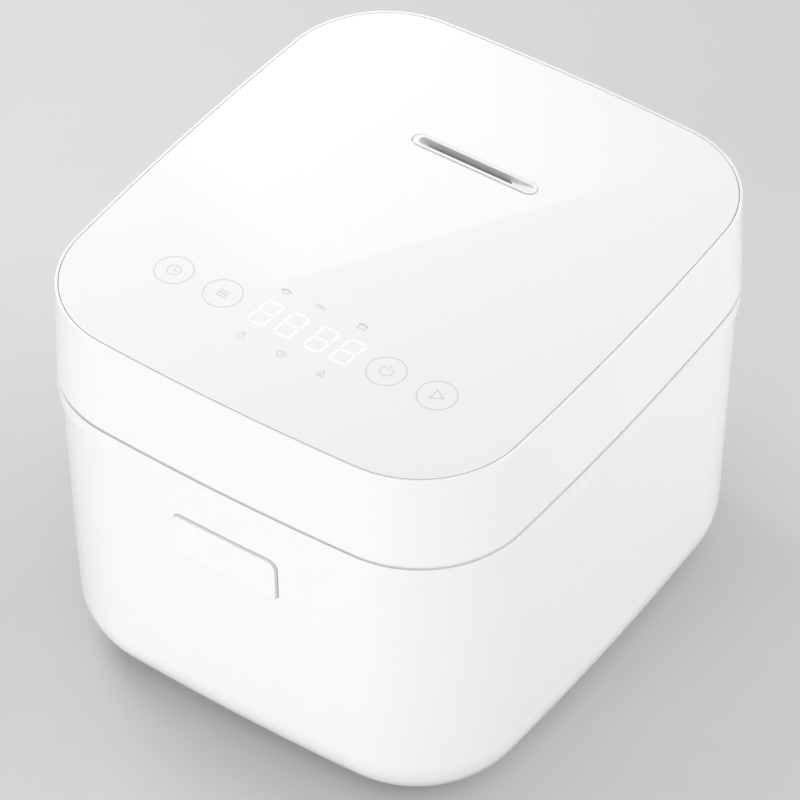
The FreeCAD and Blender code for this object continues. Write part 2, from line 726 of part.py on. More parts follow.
def heater_screws():
    """Screws up through the drum's floor into the heating plate."""
    length = DRUM_T + SUPPORT_H + HEATER_T / 2
    return group(screw(x, y, DRUM_FLOOR_Z, length, SCREW_R, SCREW_HEAD_R, SCREW_HEAD_H, True)
                 for x, y in support_places())


def heating_plate():
    """Cast plate that the pot stands on."""
    plate = rod(HEATER_R, HEATER_Z, POT_Z)
    plate = plate.makeFillet(HEATER_EDGE_R, edges_at(plate, POT_Z))
    holes = [rod(SCREW_R + RUN, HEATER_Z, HEATER_Z + HEATER_T / 2, x, y) for x, y in support_places()]
    return plate.cut(Part.makeCompound([rod(SENSOR_R + SENSOR_GAP, HEATER_Z, POT_Z)] + holes))


def heater_element():
    """Tubular element under the heating plate, an open ring with two ends at the front."""
    inner, outer = ELEMENT_R - ELEMENT_W / 2, ELEMENT_R + ELEMENT_W / 2
    low = HEATER_Z - ELEMENT_H
    section = [(inner, low), (outer, low), (outer, HEATER_Z), (inner, HEATER_Z)]
    corners = [Vector(radius, 0, z) for radius, z in section]
    face = Part.Face(Part.makePolygon(corners + corners[:1]))
    face.rotate(Vector(0, 0, 0), Vector(0, 0, 1), -90 + (360 - ELEMENT_SWEEP) / 2)
    return face.revolve(Vector(0, 0, 0), Vector(0, 0, 1), ELEMENT_SWEEP)


def sensor_plunger():
    """Sprung cap that feels the pot, on a stem that slides in the guide."""
    cap = rod(SENSOR_R, POT_Z - SENSOR_CAP_T, POT_Z)
    cap = cap.makeFillet(SENSOR_EDGE_R, edges_at(cap, POT_Z))
    return joined(cap, rod(SENSOR_STEM_R, POT_Z - SENSOR_CAP_T - SENSOR_STEM_L, POT_Z - SENSOR_CAP_T))


def sensor_guide():
    """Guide for the sensor's stem, on the drum's floor."""
    z = DRUM_FLOOR_Z + DRUM_T
    outer = SENSOR_STEM_R + GUIDE_WALL
    flange = rod(GUIDE_FLANGE_R, z, z + GUIDE_FLANGE_T)
    tube = rod(outer, z - GUIDE_H, z + GUIDE_FLANGE_T)
    return joined(flange, tube).cut(rod(SENSOR_STEM_R + RUN, z - GUIDE_H, z + GUIDE_FLANGE_T))


def sensor_spring():
    """Spring between the guide and the sensor's cap."""
    z = DRUM_FLOOR_Z + DRUM_T + GUIDE_FLANGE_T
    spring = coil(SENSOR_SPRING_R, SENSOR_WIRE, POT_Z - SENSOR_CAP_T - z, SENSOR_TURNS)
    spring.translate(Vector(0, 0, z))
    return spring


def thermal_fuse():
    """Cut-out fuse clamped under the heating plate."""
    return rod_x(FUSE_R / 2, -FUSE_L / 2, FUSE_L / 2, FUSE_Y, HEATER_Z - FUSE_R / 2)


def pot_base():
    """Dish of the lift-out pot: flat bottom and round corner, up to the straight wall."""
    def corner(radius):
        centre_r, centre_z = POT_R - POT_CORNER_R, POT_Z + POT_CORNER_R
        low = Vector(centre_r, 0, centre_z - radius)
        middle = Vector(centre_r + radius * math.sqrt(0.5), 0, centre_z - radius * math.sqrt(0.5))
        return low, middle, Vector(centre_r + radius, 0, centre_z)

    def line(a, b):
        return Part.LineSegment(a, b).toShape()

    low, middle, high = corner(POT_CORNER_R)
    in_low, in_middle, in_high = corner(POT_CORNER_R - POT_WALL)
    centre, in_centre = Vector(0, 0, POT_Z), Vector(0, 0, POT_Z + POT_WALL)
    edges = [
        line(centre, low), Part.Arc(low, middle, high).toShape(), line(high, in_high),
        Part.Arc(in_high, in_middle, in_low).toShape(), line(in_low, in_centre), line(in_centre, centre),
    ]
    return Part.Face(Part.Wire(edges)).revolve(Vector(0, 0, 0), Vector(0, 0, 1), 360)


def pot_wall():
    """Straight wall of the lift-out pot, with the level flange that it hangs by."""
    tube = ring(POT_R - POT_WALL, POT_R, POT_Z + POT_CORNER_R, FLANGE_TOP)
    flange = ring(POT_R - POT_WALL, FLANGE_R, FLANGE_Z, FLANGE_TOP)
    wall = joined(tube, flange)
    level = edges_at(wall, FLANGE_TOP) + edges_at(wall, FLANGE_Z)
    return wall.makeFillet(POT_RIM_R, [e for e in level if e.BoundBox.XMax > FLANGE_R - FIT])


def release_button():
    """Front button: a proud plate with a lip inside the wall."""
    low = BUTTON_TOP - BUTTON_H
    plate = rounded_plate(BUTTON_W / 2, low, BUTTON_TOP, BUTTON_FACE_Y, LIP_Y, BUTTON_CORNER_R)
    face_edges = [e for e in plate.Edges if e.BoundBox.YMax < BUTTON_FACE_Y + FIT]
    plate = plate.makeFillet(BUTTON_EDGE_R, face_edges)
    lip = rounded_plate(LIP_SIDE, low - BUTTON_LIP, BUTTON_TOP + BUTTON_LIP, LIP_Y, SLIDE_Y,
                        BUTTON_CORNER_R + BUTTON_LIP)
    return joined(plate, lip)


def latch_slide():
    """Slide behind the button, with a window whose back edge holds the lid's hook."""
    half = SLIDE_W / 2
    low = BUTTON_TOP - BUTTON_H
    upright = box(-half, half, SLIDE_Y, SLIDE_BACK, low, CATCH_Z + CATCH_T)
    catch = box(-half, half, SLIDE_Y, CATCH_END, CATCH_Z, CATCH_Z + CATCH_T)
    window_half = HOOK_W / 2 + HOOK_T / 2
    window = box(-window_half, window_half, SLIDE_BACK, CATCH_EDGE, CATCH_Z, CATCH_Z + CATCH_T)
    return joined(upright, catch).cut(window)


def latch_frame():
    """Bracket under the collar that backs the button's spring and guides the slide."""
    half = SLIDE_W / 2 + FRAME_GAP
    outer = half + FRAME_T
    low = BUTTON_TOP - BUTTON_H
    front = SLIDE_Y + BUTTON_TRAVEL + SEAT
    back = FRAME_Y + FRAME_T
    wall = box(-outer, outer, FRAME_Y, back, low, CATCH_Z - FRAME_GAP)
    cheeks = [box(*sorted((s * half, s * outer)), front, back, low, DECK_Z) for s in (-1, 1)]
    end = outer + FRAME_TAB
    tabs = [box(*sorted((s * half, s * end)), front, back, DECK_Z - FRAME_T, DECK_Z) for s in (-1, 1)]
    holes = [rod(SMALL_SCREW_R + FIT, DECK_Z - FRAME_T, DECK_Z, x, y) for x, y in frame_screw_places()]
    return joined(wall, *cheeks, *tabs).cut(Part.makeCompound(holes))


def frame_screw_places():
    """Places of the screws that hold the latch frame to the collar."""
    x = SLIDE_W / 2 + FRAME_GAP + FRAME_T + FRAME_TAB / 2
    y = (SLIDE_Y + BUTTON_TRAVEL + FRAME_Y + FRAME_T) / 2
    return [(-x, y), (x, y)]


def frame_screws():
    """Screws of the latch frame."""
    return group(screw(x, y, DECK_Z - FRAME_T, FRAME_T + DECK_T - 2 * DECK_SKIN, SMALL_SCREW_R, SMALL_HEAD_R,
                       SMALL_HEAD_H, True) for x, y in frame_screw_places())


def button_spring():
    """Spring between the slide and the latch frame, along Y."""
    spring = coil(BUTTON_SPRING_R, BUTTON_WIRE, FRAME_Y - SLIDE_BACK, BUTTON_TURNS)
    spring.rotate(Vector(0, 0, 0), Vector(1, 0, 0), -90)
    spring.translate(Vector(0, SLIDE_BACK, BUTTON_MID_Z))
    return spring


def lid_hook():
    """Hook that hangs from the lid's inner frame, with its nose towards the back."""
    half = HOOK_W / 2
    stem = box(-half, half, HOOK_Y, HOOK_BACK, NOSE_TOP - NOSE_H, INNER_TOP)
    nose = box(-half, half, HOOK_BACK, NOSE_END, NOSE_TOP - NOSE_H, NOSE_TOP)
    low_edge = [e for e in edges_at(nose, NOSE_TOP - NOSE_H) if e.BoundBox.YMin > NOSE_END - FIT]
    nose = nose.makeChamfer(NOSE_BEVEL, low_edge)
    flange = box(-half - HOOK_FLANGE, half + HOOK_FLANGE, HOOK_Y - HOOK_FLANGE / 2, HOOK_BACK + HOOK_FLANGE,
                 INNER_TOP, INNER_TOP + HOOK_FLANGE_T)
    return joined(stem, nose, flange)


def hinge_screw_places():
    """Places of the screws that hold the hinge housing to the collar."""
    y = HINGE_FRONT + HINGE_SCREW_SET
    return [(-HINGE_SCREW_X, y), (HINGE_SCREW_X, y)]


def hinge_housing():
    """Barrel on the collar's deck, flush with the back wall, that the pin runs in."""
    barrel = rod_x(HINGE_R, -HINGE_HALF, HINGE_HALF, HINGE_Y, HINGE_Z)
    block = box(-HINGE_HALF, HINGE_HALF, HINGE_FRONT, DEPTH, COLLAR_TOP, HINGE_Z)
    back = loft([(FIT, COLLAR_TOP), (FIT + LID_LEAN, HEIGHT)], LID_CORNER_R)
    solid = joined(barrel, block).common(back)
    solid = solid.cut(rod_x(PIN_R + RUN, -HINGE_HALF, HINGE_HALF, HINGE_Y, HINGE_Z))
    solid = solid.cut(rod_x(SPRING_ROOM_R, -SPRING_HALF, SPRING_HALF, HINGE_Y, HINGE_Z))
    holes = [rod(SCREW_R + RUN, COLLAR_TOP, COLLAR_TOP + SCREW_L, x, y) for x, y in hinge_screw_places()]
    return solid.cut(Part.makeCompound(holes))


def hinge_screws():
    """Screws up through the collar's deck into the hinge housing."""
    return group(screw(x, y, DECK_Z, DECK_T + SCREW_L - SCREW_TIP, SCREW_R, SCREW_HEAD_R, SCREW_HEAD_H, True)
                 for x, y in hinge_screw_places())


def hinge_pin():
    """Pin through the housing and the lid's two lugs."""
    end = HINGE_HALF + HINGE_SIDE_GAP + LUG_W
    return rod_x(PIN_R, -end, end, HINGE_Y, HINGE_Z)


def hinge_spring():
    """Torsion spring round the pin, inside the housing."""
    spring = coil(HINGE_SPRING_R, HINGE_WIRE, 2 * SPRING_HALF, HINGE_TURNS)
    spring.rotate(Vector(0, 0, 0), Vector(0, 1, 0), 90)
    spring.translate(Vector(-SPRING_HALF, HINGE_Y, HINGE_Z))
    return spring


def hinge_lug(side):
    """Lug on the lid's inner frame that holds one end of the pin."""
    inner = HINGE_HALF + HINGE_SIDE_GAP
    x0, x1 = sorted((side * inner, side * (inner + LUG_W)))
    knuckle = rod_x(LUG_R, x0, x1, HINGE_Y, HINGE_Z)
    arm = box(x0, x1, HINGE_Y - LUG_REACH, HINGE_Y + LUG_R, INNER_TOP, HINGE_Z)
    hole = rod_x(PIN_R + RUN / 2, x0, x1, HINGE_Y, HINGE_Z)
    return joined(knuckle, arm).cut(hole)


def lid_shell():
    """Lid's outer wall with the rim that the top panel lies in."""
    outer = loft([(0, LID_BOTTOM), (LID_LEAN, HEIGHT)], LID_CORNER_R)
    outer = outer.makeFillet(RIM_R, edges_at(outer, HEIGHT))
    ledge_z = PANEL_Z - LEDGE_H
    room = loft([(LID_WALL, LID_BOTTOM), (LID_WALL + lid_inset(ledge_z), ledge_z)], LID_CORNER_R)
    shelf = prism(LID_WALL / 2, INNER_TOP, INNER_TOP + SHELF_T, LID_CORNER_R)
    shelf = shelf.cut(prism(LID_WALL + SHELF_W, INNER_TOP, INNER_TOP + SHELF_T, LID_CORNER_R))
    lug_half = HINGE_HALF + HINGE_SIDE_GAP + LUG_W + FIT
    shelf = shelf.cut(box(-lug_half, lug_half, HINGE_Y - LUG_REACH - FIT, DEPTH / 2 - LID_WALL, 0, HEIGHT))
    pocket = LID_LEAN + RIM_W
    shell = outer.cut(room).cut(prism(pocket, PANEL_Z, HEIGHT, LID_CORNER_R))
    shell = shell.cut(prism(pocket + LEDGE_W, ledge_z, PANEL_Z, LID_CORNER_R))
    bosses = [rod(BOSS_R, INNER_TOP, INNER_TOP + LID_BOSS_H, x, y) for x, y in lid_screw_places()]
    shell = joined(shell, shelf, *bosses)
    for x, y in lid_screw_places():
        shell = shell.cut(rod(SCREW_R + RUN, INNER_TOP, INNER_TOP + LID_BOSS_H - SCREW_TIP / 2, x, y))
    return shell.cut(hinge_zone(HINGE_HALF + HINGE_SIDE_GAP))


def lid_screw_places():
    """Places of the screws that hold the inner frame to the lid."""
    return mirrored(WIDTH / 2 - LID_SCREW_IN, LID_SCREW_Y)


def lid_screws():
    """Screws up through the inner frame into the lid."""
    seat = INNER_Z + LID_SCREW_SINK
    length = INNER_TOP - seat + LID_BOSS_H - SCREW_TIP
    return group(screw(x, y, seat, length, SCREW_R, SCREW_HEAD_R, LID_SCREW_SINK, True)
                 for x, y in lid_screw_places())


def top_panel():
    """Flat glossy panel in the lid's rim, with the steam slot."""
    panel = prism(LID_LEAN + RIM_W + PANEL_GAP, PANEL_Z, HEIGHT, LID_CORNER_R)
    panel = panel.makeChamfer(PANEL_EDGE, edges_at(panel, HEIGHT))
    return panel.cut(stadium_bar(SLOT_L, SLOT_W, PANEL_Z, HEIGHT, SLOT_Y))


def lid_inner_frame():
    """Underside of the lid: a level ring, a round recess for the inner lid, and posts for the board."""
    plate = prism(LID_WALL + FIT, INNER_Z, INNER_TOP, LID_CORNER_R)
    cup = rod(RECESS_R + INNER_T, INNER_Z, CEILING_TOP)
    frame = joined(plate, cup).cut(rod(RECESS_R, INNER_Z, CEILING_Z))
    posts = [rod(POST_R, INNER_Z, PANEL_BOARD_Z, x, y) for x, y in panel_screw_places()]
    posts = [post.cut(rod(RECESS_R, INNER_Z, CEILING_Z)) for post in posts]
    frame = joined(frame, *posts, rod(STUD_R, INNER_LID_Z - GROMMET_H / 2, CEILING_TOP))
    cuts = [rod(DUCT_BORE_R, CEILING_Z, CEILING_TOP, 0, SLOT_Y)]
    for x, y in lid_screw_places():
        cuts.append(joined(rod(SCREW_R + FIT, INNER_Z, INNER_TOP, x, y),
                           rod(SCREW_HEAD_R + FIT, INNER_Z, INNER_Z + LID_SCREW_SINK, x, y)))
    hole_low = PANEL_BOARD_Z - PAD_H
    cuts += [rod(SMALL_SCREW_R + RUN, hole_low, PANEL_BOARD_Z, x, y) for x, y in panel_screw_places()]
    cuts.append(rod(LID_SENSOR_R + FIT, CEILING_Z, CEILING_TOP, LID_SENSOR_X, LID_SENSOR_Y))
    hook_half = HOOK_W / 2 + FIT
    cuts.append(box(-hook_half, hook_half, HOOK_Y - FIT, HOOK_BACK + FIT, INNER_Z, INNER_TOP))
    return frame.cut(Part.makeCompound(cuts)).cut(hinge_zone(HINGE_HALF + HINGE_SIDE_GAP))


def gasket_outer():
    """Outer radius of the pot gasket."""
    return FLANGE_R + RECESS_R_OVER / 2


def inner_lid():
    """Lift-off plate over the pot, with steam holes and a hole for the grommet."""
    radius = gasket_outer() - GASKET_W / 2
    plate = rod(radius, INNER_LID_Z, INNER_LID_Z + INNER_LID_T)
    holes = [rod(STUD_R + GROMMET_WALL - GROMMET_LAP, INNER_LID_Z, INNER_LID_Z + INNER_LID_T)]
    for i in range(STEAM_HOLE_COUNT):
        a = 2 * math.pi * i / STEAM_HOLE_COUNT
        x, y = STEAM_RING_R * math.cos(a), SLOT_Y + STEAM_RING_R * math.sin(a)
        holes.append(rod(STEAM_HOLE_R, INNER_LID_Z, INNER_LID_Z + INNER_LID_T, x, y))
    return plate.cut(Part.makeCompound(holes))


def pot_gasket():
    """Soft ring round the inner lid, with a lip just over the pot's flange."""
    outer = gasket_outer()
    inner = outer - GASKET_W
    groove = outer - GASKET_W / 2 + FIT / 2
    middle = INNER_LID_Z + INNER_LID_T / 2
    top, low = middle + GASKET_H / 2, middle - GASKET_H / 2
    lip = FLANGE_TOP + SEAT
    groove_low, groove_top = INNER_LID_Z - FIT / 4, INNER_LID_Z + INNER_LID_T + FIT / 4
    return turned([
        (inner, top), (inner, groove_top), (groove, groove_top), (groove, groove_low), (inner, groove_low),
        (inner, low), (inner - GASKET_LIP_W / 2, lip), (inner + GASKET_LIP_W / 2, lip),
        (inner + GASKET_LIP_W, low), (outer, low), (outer, top),
    ])


def lid_grommet():
    """Rubber grommet that holds the inner lid on the frame's stud."""
    outer = STUD_R + GROMMET_WALL
    groove = outer - GROMMET_LAP - FIT / 4
    bore = STUD_R + RUN
    low = INNER_LID_Z - GROMMET_H / 2
    groove_low, groove_top = INNER_LID_Z - FIT / 4, INNER_LID_Z + INNER_LID_T + FIT / 4
    return turned([
        (bore, CEILING_Z), (bore, low), (outer - GROMMET_LAP / 2, low), (outer, groove_low),
        (groove, groove_low), (groove, groove_top), (outer, groove_top), (outer - GROMMET_LAP, CEILING_Z),
    ])


def lid_sensor():
    """Sensor in the frame's ceiling, resting on the inner lid."""
    place = (LID_SENSOR_X, LID_SENSOR_Y)
    flange = rod(LID_SENSOR_R + LID_SENSOR_FLANGE, CEILING_TOP, CEILING_TOP + INNER_T, *place)
    return joined(flange, rod(LID_SENSOR_R, INNER_LID_Z + INNER_LID_T, CEILING_TOP, *place))


def vent_insert():
    """White insert in the panel's slot: a lip, and a recess whose ends slope like a boat's."""
    top = HEIGHT - SLOT_SET_DOWN
    low = top - SLOT_DEPTH
    length, width = SLOT_L - 2 * SLOT_GAP, SLOT_W - 2 * SLOT_GAP
    neck = stadium_bar(length, width, low, top, SLOT_Y)
    flange_l, flange_w = SLOT_L + 2 * VENT_FLANGE, SLOT_W + 2 * VENT_FLANGE
    flange = stadium_bar(flange_l, flange_w, PANEL_Z - VENT_FLANGE_T, PANEL_Z, SLOT_Y)
    mouth_l, mouth_w = length - 2 * SLOT_LIP, width - 2 * SLOT_LIP + SLOT_LIP / 2
    mouth = stadium(mouth_l, mouth_w, top, SLOT_Y)
    throat = stadium(mouth_l - 2 * SLOT_SLOPE, mouth_w, low, SLOT_Y)
    return joined(neck, flange).cut(Part.makeLoft([mouth, throat], True, True))


def duct_length():
    """Length of the steam duct's outline along X."""
    return SLOT_L + 2 * DUCT_WALL


def steam_duct():
    """Steam chamber between the lid's ceiling and the vent insert."""
    top = PANEL_Z - VENT_FLANGE_T
    width = SLOT_W + 2 * DUCT_ROOM + 2 * DUCT_WALL
    outer = stadium_bar(duct_length() + 2 * DUCT_ROOM, width, CEILING_TOP, top, SLOT_Y)
    room = stadium_bar(duct_length() + 2 * DUCT_ROOM - 2 * DUCT_WALL, width - 2 * DUCT_WALL,
                       CEILING_TOP + DUCT_WALL, top - DUCT_WALL, SLOT_Y)
    grow = 2 * FIT - 2 * SLOT_GAP
    way = stadium_bar(SLOT_L + grow, SLOT_W + grow, top - DUCT_WALL, top, SLOT_Y)
    bore = rod(DUCT_BORE_R, CEILING_TOP, CEILING_TOP + DUCT_WALL, 0, SLOT_Y)
    return outer.cut(Part.makeCompound([room, way, bore]))


def duct_seal():
    """Soft ring between the inner lid's steam holes and the lid's ceiling."""
    return ring(DUCT_BORE_R, DUCT_BORE_R + SEAL_WALL, INNER_LID_Z + INNER_LID_T, CEILING_Z, 0, SLOT_Y)


def panel_screw_places():
    """Corner holes of the display board."""
    x = PANEL_BOARD_W / 2 - PANEL_BOARD_EDGE
    y = PANEL_BOARD_D / 2 - PANEL_BOARD_EDGE
    return [(px, KEY_Y + py) for px, py in mirrored(x, y)]


def display_board():
    """Board under the top panel that carries the display and the touch pads."""
    half_w, half_d = PANEL_BOARD_W / 2, PANEL_BOARD_D / 2
    top = PANEL_BOARD_Z + BOARD_T
    board = box(-half_w, half_w, KEY_Y - half_d, KEY_Y + half_d, PANEL_BOARD_Z, top)
    for x, y in panel_screw_places():
        board = board.cut(rod(SMALL_SCREW_R + FIT, PANEL_BOARD_Z, top, x, y))
    return board


def display_screws():
    """Screws of the display board."""
    return group(screw(x, y, PANEL_BOARD_Z + BOARD_T, BOARD_T + PAD_H / 2, SMALL_SCREW_R, SMALL_HEAD_R,
                       SMALL_HEAD_H, False) for x, y in panel_screw_places())


def display_module():
    """Four-digit display block between the board and the panel."""
    half_w, half_d = DISPLAY_W / 2, DISPLAY_D / 2
    return box(-half_w, half_w, KEY_Y - half_d, KEY_Y + half_d, PANEL_BOARD_Z + BOARD_T, PANEL_Z)


def touch_pad(x):
    """Soft touch electrode between the board and the panel, under one key."""
    return rod(PAD_R, PANEL_BOARD_Z + BOARD_T, PANEL_Z, x, KEY_Y)


def buzzer():
    """Sounder under the display board."""
    return rod(BUZZER_R, PANEL_BOARD_Z - BUZZER_H, PANEL_BOARD_Z, 0, BUZZER_Y)


def pieces():
    """Every node's name and solid."""
    parts = {
        "body_shell": body_shell(), "base_plate": base_plate(), "base_screws": base_screws(),
        "power_board": power_board(), "relay": on_board(RELAY, RELAY_X),
        "transformer": on_board(TRANSFORMER, TRANSFORMER_X), "capacitor": capacitor(),
        "board_screws": board_screws(), "power_inlet": power_inlet(), "inlet_pins": inlet_pins(),
        "inlet_screws": inlet_screws(), "top_collar": top_collar(), "heat_drum": heat_drum(),
        "heater_supports": heater_supports(), "heater_screws": heater_screws(),
        "heating_plate": heating_plate(), "heater_element": heater_element(),
        "sensor_plunger": sensor_plunger(), "sensor_guide": sensor_guide(),
        "sensor_spring": sensor_spring(), "thermal_fuse": thermal_fuse(),
        "pot_base": pot_base(), "pot_wall": pot_wall(),
        "release_button": release_button(), "latch_slide": latch_slide(), "latch_frame": latch_frame(),
        "frame_screws": frame_screws(), "button_spring": button_spring(), "lid_hook": lid_hook(),
        "hinge_housing": hinge_housing(), "hinge_screws": hinge_screws(), "hinge_pin": hinge_pin(),
        "hinge_spring": hinge_spring(), "hinge_lug_left": hinge_lug(-1), "hinge_lug_right": hinge_lug(1),
        "lid_shell": lid_shell(), "lid_screws": lid_screws(), "top_panel": top_panel(),
        "lid_inner_frame": lid_inner_frame(), "inner_lid": inner_lid(), "pot_gasket": pot_gasket(),
        "lid_grommet": lid_grommet(), "lid_sensor": lid_sensor(), "vent_insert": vent_insert(),
        "steam_duct": steam_duct(), "duct_seal": duct_seal(), "display_board": display_board(),
        "display_screws": display_screws(), "display_module": display_module(), "buzzer": buzzer(),
    }
    corners = ("front_left", "back_left", "front_right", "back_right")
    for corner, (x, y) in zip(corners, mirrored(FOOT_X, FOOT_Y)):
        parts["foot_" + corner] = foot(x, y)
    for number, x in enumerate(KEY_XS, start=1):
        parts["touch_pad_%d" % number] = touch_pad(x)
    return parts


os.makedirs("parts", exist_ok=True)
for node, shape in pieces().items():
    shape.exportStep("parts/" + node + ".step")
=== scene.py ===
"""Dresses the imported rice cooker: shells, panel print, pot, small parts, finishes and a plain studio."""

from __future__ import annotations

import logging
import math
from dataclasses import dataclass, field
from enum import Enum
from typing import ClassVar, Iterable, Sequence

import bmesh
import bpy
from bmesh.types import BMEdge, BMFace, BMVert
from mathutils import Matrix, Vector

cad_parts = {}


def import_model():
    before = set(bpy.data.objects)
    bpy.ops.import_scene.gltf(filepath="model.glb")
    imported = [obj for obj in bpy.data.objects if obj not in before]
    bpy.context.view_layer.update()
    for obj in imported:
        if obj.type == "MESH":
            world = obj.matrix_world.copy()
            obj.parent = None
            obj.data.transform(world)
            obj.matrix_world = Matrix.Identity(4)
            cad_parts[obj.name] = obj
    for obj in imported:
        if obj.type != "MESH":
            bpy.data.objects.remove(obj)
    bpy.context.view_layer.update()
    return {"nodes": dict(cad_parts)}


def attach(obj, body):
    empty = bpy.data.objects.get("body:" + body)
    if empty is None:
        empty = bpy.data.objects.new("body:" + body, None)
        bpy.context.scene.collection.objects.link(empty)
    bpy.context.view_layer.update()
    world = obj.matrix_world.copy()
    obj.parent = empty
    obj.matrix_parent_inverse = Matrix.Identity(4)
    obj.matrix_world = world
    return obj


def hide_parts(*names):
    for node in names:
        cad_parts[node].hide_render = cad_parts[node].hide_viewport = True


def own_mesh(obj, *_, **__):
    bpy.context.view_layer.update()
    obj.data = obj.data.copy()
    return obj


log = logging.getLogger("rice_cooker")

MM = 0.001
TURN = 2 * math.pi
ALONG_X = (1.0, 0.0, 0.0)
ALONG_Y = (0.0, 1.0, 0.0)
UP = (0.0, 0.0, 1.0)

# Points of a mesh that lie closer than this, in millimetres, become one.
WELD = 0.004

# Steps round a small edge.
EDGE_STEPS = 3

Pair = tuple[float, float]
Triple = tuple[float, float, float]
Element = BMVert | BMEdge | BMFace


class Grain(Enum):
    """The surface patterns that the finishes use."""

    PEEL = "faint waviness of polished moulded plastic"
    MOULDED = "fine spark-eroded texture"
    SOFT = "dull cloudy skin of rubber"
    BRUSHED = "straight brushed lines"
    SPUN = "rings left by spinning"
    SPANGLE = "crystals of zinc plating"
    CAST = "rough cast skin"
    FLECK = "light flecks in a dark coating"
    TRACKS = "copper tracks under lacquer"
    # Painted shade: a colour that darkens downwards, standing in for the shade deep in a recess.
    PAINTED_SHADE_DOWNWARDS = "shade that deepens downwards"


class Cut(Enum):
    """How one mesh is combined with another."""

    TAKE_AWAY = "DIFFERENCE"
    KEEP_COMMON = "INTERSECT"


def map_range(tree: bpy.types.NodeTree, value: bpy.types.NodeSocket, source: Pair,
              target: Pair = (0.0, 1.0)) -> bpy.types.NodeSocket:
    """Maps a value from one range onto another.

    Args:
        tree: The node tree to add to.
        value: The value to map.
        source: The range that it comes in.
        target: The range that it leaves in.

    Returns:
        The mapped value.
    """
    node = tree.nodes.new("ShaderNodeMapRange")
    node.inputs["From Min"].default_value, node.inputs["From Max"].default_value = source
    node.inputs["To Min"].default_value, node.inputs["To Max"].default_value = target
    tree.links.new(value, node.inputs["Value"])
    return node.outputs["Result"]


